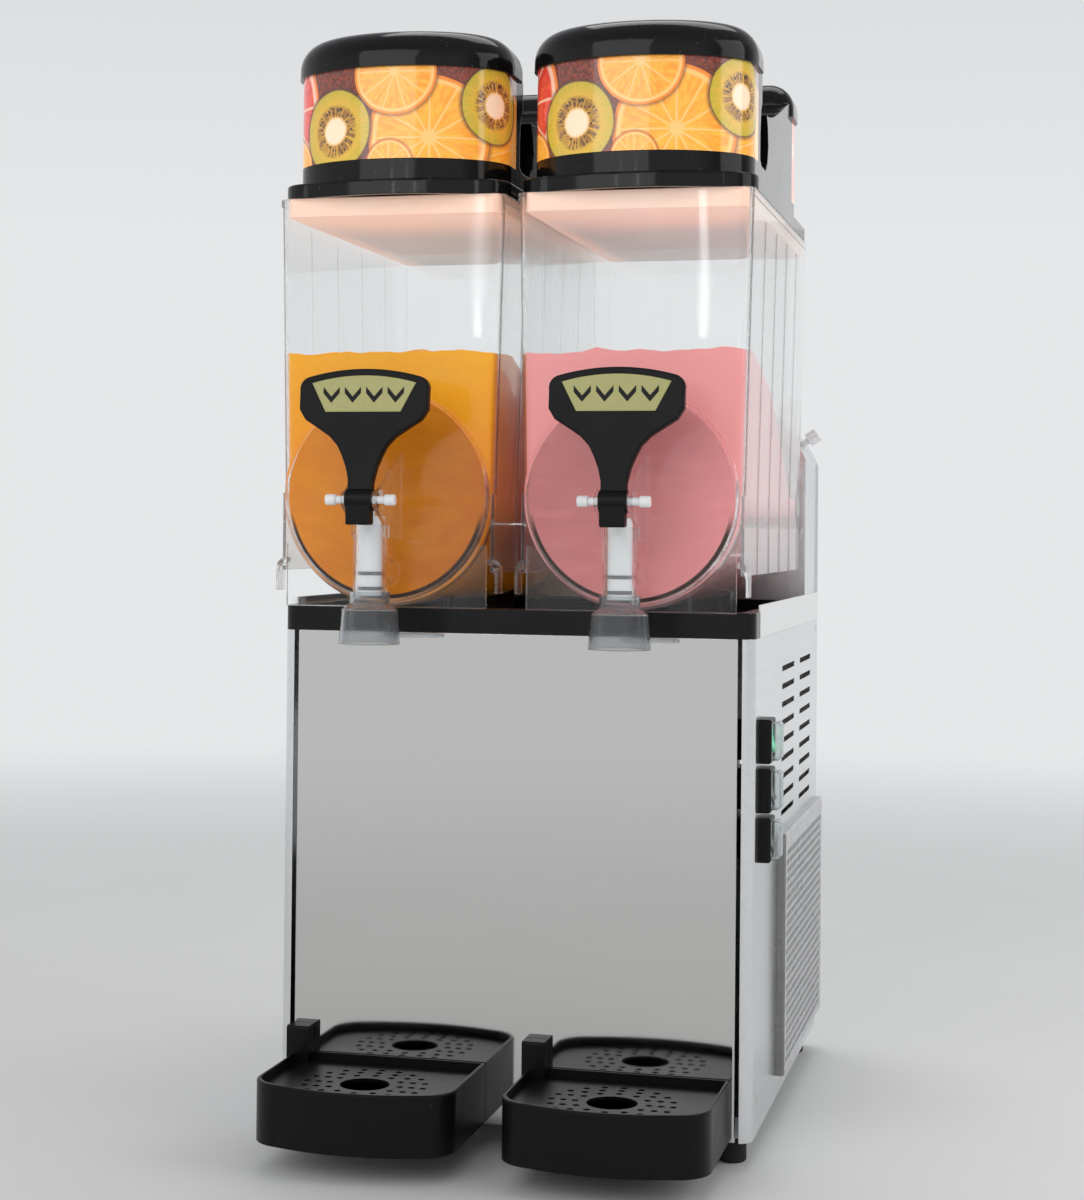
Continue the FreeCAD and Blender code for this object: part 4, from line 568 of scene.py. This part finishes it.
def build_slush(side, material):
    """Slush in one tank: it fills the tank out to its walls, and a round step of it fills the front bulge."""
    axis = auger_axis(side)
    wall_r = 83.8 * MM
    bulge_r = 80.6 * MM
    bulge_depth = 5.8 * MM
    flare = 5.0 / 236.0
    arc_steps = 40
    top_steps = 28
    side_steps = 8
    disc_steps = 96
    front_gap = 0.25 * MM
    corner = 7.0 * MM
    depths = [d * MM for d in (0.0, 1.2, 3.2, 7.0)] + [(14.0 + 11.0 * k) * MM for k in range(30)]
    bm = bmesh.new()
    outer = []
    for d in depths:
        lift = max(0.0, corner - d) / corner
        inset = corner * (1.0 - math.sqrt(max(0.0, 1.0 - lift * lift)))
        r = wall_r - inset
        ring = []
        for i in range(arc_steps + 1):
            a = math.pi + math.pi * i / arc_steps
            ring.append((r * math.cos(a), r * math.sin(a)))
        level = slush_level(d, axis.x + r)
        for i in range(1, side_steps + 1):
            z = level * i / side_steps
            ring.append((r + flare * z, z))
        half_top = r + flare * level
        for i in range(1, top_steps):
            x = half_top * (1.0 - 2.0 * i / top_steps)
            ring.append((x, slush_level(d, axis.x + x)))
        left_level = slush_level(d, axis.x - r)
        for i in range(side_steps, 0, -1):
            z = left_level * i / side_steps
            ring.append((-r - flare * z, z))
        outer.append([bm.verts.new((axis.x + x, axis.y + front_gap + d, axis.z + z)) for x, z in ring])
    loft(bm, outer)
    bm.faces.new(outer[0])
    bm.faces.new(list(reversed(outer[-1])))
    back = 1.0 * MM
    steps = [(-bulge_depth, 0.0), (-bulge_depth, bulge_r - 2.0 * MM),
             (-bulge_depth + 0.6 * MM, bulge_r - 0.6 * MM), (-bulge_depth + 2.0 * MM, bulge_r),
             (back, bulge_r), (back, 0.0)]
    disc = []
    for y, r in steps:
        if r == 0.0:
            disc.append(bm.verts.new((axis.x, axis.y + y, axis.z)))
            continue
        disc.append([bm.verts.new((axis.x + r * math.cos(a), axis.y + y, axis.z + r * math.sin(a)))
                     for a in (2.0 * math.pi * i / disc_steps for i in range(disc_steps))])
    loft(bm, disc[1:-1])
    for middle, rim in ((disc[0], disc[1]), (disc[-1], disc[-2])):
        for i, vert in enumerate(rim):
            bm.faces.new((middle, vert, rim[(i + 1) % len(rim)]))
    mesh_object("slush_" + side, bm, material, "bowl_" + side)


def oval_outline(half_width, reach, straight, steps):
    """Half an oval from above, front at -reach, with straight sides going back: (x, y, length along it)."""
    side_steps = 4
    points = []
    for i in range(steps + 1):
        a = math.pi * i / steps
        points.append((-half_width * math.cos(a), -reach * math.sin(a)))
    back = [straight * k / side_steps for k in range(side_steps, 0, -1)]
    points = [(-half_width, y) for y in back] + points + [(half_width, y) for y in reversed(back)]
    lengths = [0.0]
    for (x0, y0), (x1, y1) in zip(points, points[1:]):
        lengths.append(lengths[-1] + math.hypot(x1 - x0, y1 - y0))
    return [(x, y, length - lengths[-1] / 2) for (x, y), length in zip(points, lengths)]


def build_film(side, material):
    """The printed film in the lid: one band round the front drum and one round the rear drum."""
    lo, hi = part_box("lid_print_" + side)
    inset = 0.02 * MM
    thick = 1.75 * MM
    reach = 58.0 * MM
    straight = 15.9 * MM
    rows = 18
    back_rows = 2
    round_steps = 120
    half = (hi.x - lo.x) / 2 - inset
    middle = (lo + hi) / 2
    bottom = lo.z + inset
    height = hi.z - lo.z - 2 * inset
    outer = oval_outline(half, reach, straight, round_steps)
    inner = oval_outline(half - thick, reach - thick, straight, round_steps)
    bm = bmesh.new()
    along = bm.verts.layers.float.new(FILM_U)
    above = bm.verts.layers.float.new(FILM_V)
    for turn in (1.0, -1.0):
        centre_y = middle.y - turn * (hi.y - middle.y - inset - reach)
        columns = []
        for (xo, yo, length), (xi, yi, _) in zip(outer, inner):
            column = []
            path = [(xo, yo, k / rows) for k in range(rows + 1)]
            path += [(xi, yi, 1.0 - k / back_rows) for k in range(back_rows + 1)]
            for x, y, share in path:
                vert = bm.verts.new((middle.x + turn * x, centre_y + turn * y, bottom + share * height))
                vert[along] = length
                vert[above] = share * height
                column.append(vert)
            columns.append(column)
        loft(bm, columns)
        bm.faces.new(columns[0])
        bm.faces.new(list(reversed(columns[-1])))
    film = mesh_object("fruit_film_" + side, bm, material, "lid_" + side)
    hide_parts("lid_print_" + side)


def build_marks(side, material):
    """Four plain chevrons on the lever's inlay, standing just proud of its leaning face."""
    lo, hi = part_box("lever_plate_" + side)
    middle_x = (lo.x + hi.x) / 2
    count = 4
    lean = 0.10
    proud = 0.12 * MM
    below_axis = 0.3 * MM
    pitch = 17.0 * MM
    half_w = 6.5 * MM
    tall = 7.5 * MM
    stroke = 4.8 * MM
    low_z = lo.z + 7.0 * MM
    bm = bmesh.new()
    for k in range(count):
        x = middle_x + (k - (count - 1) / 2) * pitch
        outline = [(x - half_w, low_z + tall + stroke), (x, low_z + stroke),
                   (x + half_w, low_z + tall + stroke), (x + half_w, low_z + tall),
                   (x, low_z), (x - half_w, low_z + tall)]
        face_y = [lo.y + (z - lo.z) * lean for _, z in outline]
        front = [bm.verts.new((px, y - proud, z)) for (px, z), y in zip(outline, face_y)]
        back = [bm.verts.new((px, y + below_axis, z)) for (px, z), y in zip(outline, face_y)]
        loft(bm, [front, back])
        bm.faces.new(front)
        bm.faces.new(list(reversed(back)))
    mesh_object("lever_marks_" + side, bm, material, "lever_" + side)


# ---- stage ----
def studio():
    """Soft air that darkens upwards and to the right, and a pale floor that fades into it."""
    scene = bpy.context.scene
    scene.view_settings.view_transform = "Standard"
    world = bpy.data.worlds.new("studio_air")
    scene.world = world
    world.use_nodes = True
    tree = world.node_tree
    tree.nodes.clear()
    up = tree.nodes.new("ShaderNodeSeparateXYZ")
    tree.links.new(tree.nodes.new("ShaderNodeTexCoord").outputs["Generated"], up.inputs[0])
    rise = tree.nodes.new("ShaderNodeMapRange")
    tree.links.new(up.outputs[2], rise.inputs[0])
    rise.inputs[1].default_value = 0.12
    rise.inputs[2].default_value = 0.75
    colour = tree.nodes.new("ShaderNodeMix")
    colour.data_type = "RGBA"
    tree.links.new(rise.outputs[0], colour.inputs[0])
    colour.inputs[6].default_value = HORIZON + (1.0,)
    colour.inputs[7].default_value = ZENITH + (1.0,)
    flag = tree.nodes.new("ShaderNodeMapRange")
    flag.interpolation_type = "SMOOTHSTEP"
    tree.links.new(up.outputs[0], flag.inputs[0])
    for socket, value in zip(flag.inputs[1:5], (0.62, 0.92, AIR_STRENGTH, FLAG_STRENGTH)):
        socket.default_value = value
    back = tree.nodes.new("ShaderNodeBackground")
    tree.links.new(colour.outputs[2], back.inputs[0])
    tree.links.new(flag.outputs[0], back.inputs[1])
    out = tree.nodes.new("ShaderNodeOutputWorld")
    tree.links.new(back.outputs[0], out.inputs[0])

    t = Tree("studio_floor")
    where = t.parts()
    squares = [t.calc("MULTIPLY", where[i], where[i]) for i in (0, 1)]
    far = t.calc("SQRT", t.calc("ADD", *squares))
    mottle = t.noise(3.0, 3.0)
    base = t.mix(t.span(mottle, 0.3, 0.7), tuple(v * 0.97 for v in FLOOR_TONE), FLOOR_TONE)
    paper = t.principled(Base_Color=base, Roughness=0.85, Normal=t.bump(t.noise(900.0, 2.0), 0.05, 0.0002))
    air = t.node("ShaderNodeEmission")
    t.put(air.inputs["Color"], HORIZON)
    air.inputs["Strength"].default_value = AIR_STRENGTH
    floor_material = t.finish(t.shaders(t.span(far, 0.9, 3.4, smooth=True), paper, air.outputs[0]))
    bm = bmesh.new()
    bmesh.ops.create_circle(bm, cap_ends=True, segments=96, radius=FLOOR_RADIUS)
    mesh = bpy.data.meshes.new("studio_floor")
    bm.to_mesh(mesh)
    bm.free()
    mesh.materials.append(floor_material)
    floor = bpy.data.objects.new("studio_floor", mesh)
    scene.collection.objects.link(floor)
    floor.location.z = -FLOOR_DROP


def area_light(name, at, aim, size, power):
    lamp = bpy.data.lights.new(name, "AREA")
    lamp.shape = "RECTANGLE"
    lamp.size = size[0]
    lamp.size_y = size[1]
    lamp.energy = power
    made = bpy.data.objects.new(name, lamp)
    made.location = at
    made.rotation_euler = (Vector(aim) - Vector(at)).to_track_quat("-Z", "Y").to_euler()
    bpy.context.scene.collection.objects.link(made)


def lights():
    heart = (0.0, 0.0, 0.55)
    area_light("key_softbox", (-0.9, -2.9, 1.9), heart, (2.4, 1.8), 21.0)
    area_light("side_softbox", (2.3, -0.3, 1.5), heart, (1.6, 1.6), 15.0)
    area_light("top_softbox", (0.1, 0.7, 2.5), heart, (1.6, 1.0), 13.0)
    area_light("rim_softbox", (0.66, 3.6, 1.62), (0.1, 0.0, 0.75), (0.56, 0.80), 0.35)
    area_light("strip_left", (-0.50, -1.95, 0.92), (-0.045, -0.17, 0.70), (0.012, 0.26), 0.11)
    area_light("strip_right", (-0.14, -1.95, 0.92), (0.135, -0.17, 0.70), (0.012, 0.26), 0.11)


def camera():
    data = bpy.data.cameras.new("camera")
    data.lens = LENS
    data.shift_x = SHIFT_X
    data.shift_y = SHIFT_Y
    data.clip_start = 0.05
    made = bpy.data.objects.new("camera", data)
    flat = math.cos(CAMERA_PITCH)
    forward = Vector((-math.sin(CAMERA_YAW) * flat, math.cos(CAMERA_YAW) * flat, -math.sin(CAMERA_PITCH)))
    level = Vector((math.cos(CAMERA_YAW), math.sin(CAMERA_YAW), 0.0))
    up = level.cross(forward)
    right = level * math.cos(CAMERA_ROLL) + up * math.sin(CAMERA_ROLL)
    top = up * math.cos(CAMERA_ROLL) - level * math.sin(CAMERA_ROLL)
    turn = [(right[i], top[i], -forward[i]) for i in range(3)]
    rows = [list(row) + [CAMERA_AT[i]] for i, row in enumerate(turn)]
    made.matrix_world = Matrix(rows + [[0.0, 0.0, 0.0, 1.0]])
    bpy.context.scene.collection.objects.link(made)
    bpy.context.scene.camera = made


# ---- finishes ----
def paint(material, *names):
    """Gives each named CAD piece this material throughout."""
    for name in names:
        made = NODES[name]
        if not made.material_slots:
            made.data.materials.append(material)
        for held in made.material_slots:
            held.material = material


def both(stem):
    return [stem + "_" + side for side in SIDES]


def paint_cabinet():
    paint(steel("front_steel", (0.60, 0.60, 0.585), 0.05, "x", 0.008, 0.015), "front_panel")
    paint(steel("side_steel", (0.74, 0.75, 0.76), 0.22, "y", 0.035, 0.03), *both("side_panel"))
    paint(steel("back_steel", (0.72, 0.73, 0.74), 0.26, "x", 0.045, 0.05), "back_panel")
    paint(steel("housing_steel", (0.74, 0.75, 0.76), 0.25, "z", 0.05, 0.07), "rear_housing", "housing_cover")
    paint(steel("rim_steel", (0.80, 0.80, 0.80), 0.12, "z", 0.03, 0.04), "side_rims")
    paint(perforated_steel(), "filter_screen")
    paint(galvanised(), "base_pan", "fan_shroud")
    paint(moulded("deck_black", (0.005, 0.005, 0.0055), 0.26, 0.12, 1800.0, 0.25, 0.1), "top_deck")
    paint(bare_metal("evaporator_steel", (0.74, 0.75, 0.76), 0.22, "x"), "evaporators")
    paint(bare_metal("screw_steel", (0.70, 0.70, 0.70), 0.20, "z"), "panel_screws")
    paint(enamel("compressor_enamel", (0.012, 0.012, 0.013), 0.35), "compressor")
    paint(enamel("motor_enamel", (0.10, 0.11, 0.13)), "fan_motor", *both("gearmotor"))
    # Painted shade: the condenser gets a near-black tone so that the screen's holes show a dark inside.
    paint(bare_metal("condenser_painted_dark", (0.10, 0.10, 0.098), 0.45, "z"), "condenser")
    paint(bare_metal("copper_tube", (0.78, 0.42, 0.27), 0.28, "z"), "refrigerant_pipes")
    paint(moulded("fan_black", (0.02, 0.02, 0.021), 0.45), "fan_blade")
    paint(moulded("foot_rubber", (0.022, 0.022, 0.022), 0.62, 0.35, 700.0, 0.2), "feet")
    paint(moulded("socket_black", (0.005, 0.005, 0.005), 0.36), "power_inlet", "switch_bodies")
    paint(moulded("rocker_black", (0.005, 0.005, 0.0055), 0.28, 0.15), "rocker_2", "rocker_3")
    paint(lit_green(), "rocker_1")
    paint(clear_plastic("clear_silicone", (0.94, 0.96, 0.96), 0.10, 0.05, 0.22, 1.40), "switch_boots")


def paint_dispensers():
    paint(clear_plastic("clear_tank", (0.99, 0.995, 0.995)), *both("bowl"))
    paint(clear_plastic("clear_spout", (0.86, 0.87, 0.88), 0.03, 0.03, 0.20, 1.42), *both("tap_spout"))
    paint(polished_black(), *both("lid_shell"))
    for side in SIDES:
        paint(lit_diffuser(side), "lid_diffuser_" + side)
    paint(moulded("lever_black", (0.004, 0.0042, 0.0045), 0.40, 0.3, 1500.0, 0.3), *both("tap_lever"))
    paint(gold_foil(), *both("lever_plate"))
    acetal = milky("white_acetal", (0.90, 0.91, 0.92), 0.28)
    paint(acetal, *both("tap_pin"), *both("tap_piston"), *both("density_knob"))
    paint(milky("auger_white", (0.88, 0.88, 0.86), 0.32), *both("auger"))
    paint(milky("seal_white", (0.82, 0.82, 0.80), 0.45), "bowl_gaskets")
    paint(moulded("ring_grey", (0.20, 0.20, 0.21), 0.42, 0.15, 900.0, 0.15), *both("piston_rings"))
    paint(bare_metal("spring_wire", (0.72, 0.72, 0.72), 0.16, "z"), *both("tap_spring"))
    paint(bare_metal("ground_shaft", (0.72, 0.72, 0.73), 0.18, "y"), *both("auger_shaft"))
    paint(moulded("tray_black", (0.0035, 0.0035, 0.0038), 0.34, 0.3, 1500.0, 0.3), *both("drip_tray"))
    paint(moulded("grid_black", (0.0035, 0.0035, 0.0038), 0.31, 0.25, 1500.0, 0.3), *both("drip_grid"))


def main():
    paint_cabinet()
    paint_dispensers()
    film = fruit_film()
    marks = moulded("mark_black", (0.010, 0.010, 0.010), 0.40)
    for side in SIDES:
        build_film(side, film)
        build_marks(side, marks)
    # The tones below carry painted light and shade: the orange flanks and both discs are painted darker, the
    # pink flanks paler.
    orange = slush("slush_orange", "left", top=(0.98, 0.42, 0.004), body=(0.88, 0.29, 0.001),
                   disc_left=(0.70, 0.215, 0.0), disc_right=(0.48, 0.118, 0.0), flank=(0.32, 0.030, 0.001))
    pink = slush("slush_pink", "right", top=(0.92, 0.35, 0.345), body=(0.88, 0.32, 0.32),
                 disc_left=(0.52, 0.165, 0.16), disc_right=(0.76, 0.265, 0.27), flank=(0.96, 0.47, 0.49))
    build_slush("left", orange)
    build_slush("right", pink)
    studio()
    lights()
    camera()


main()
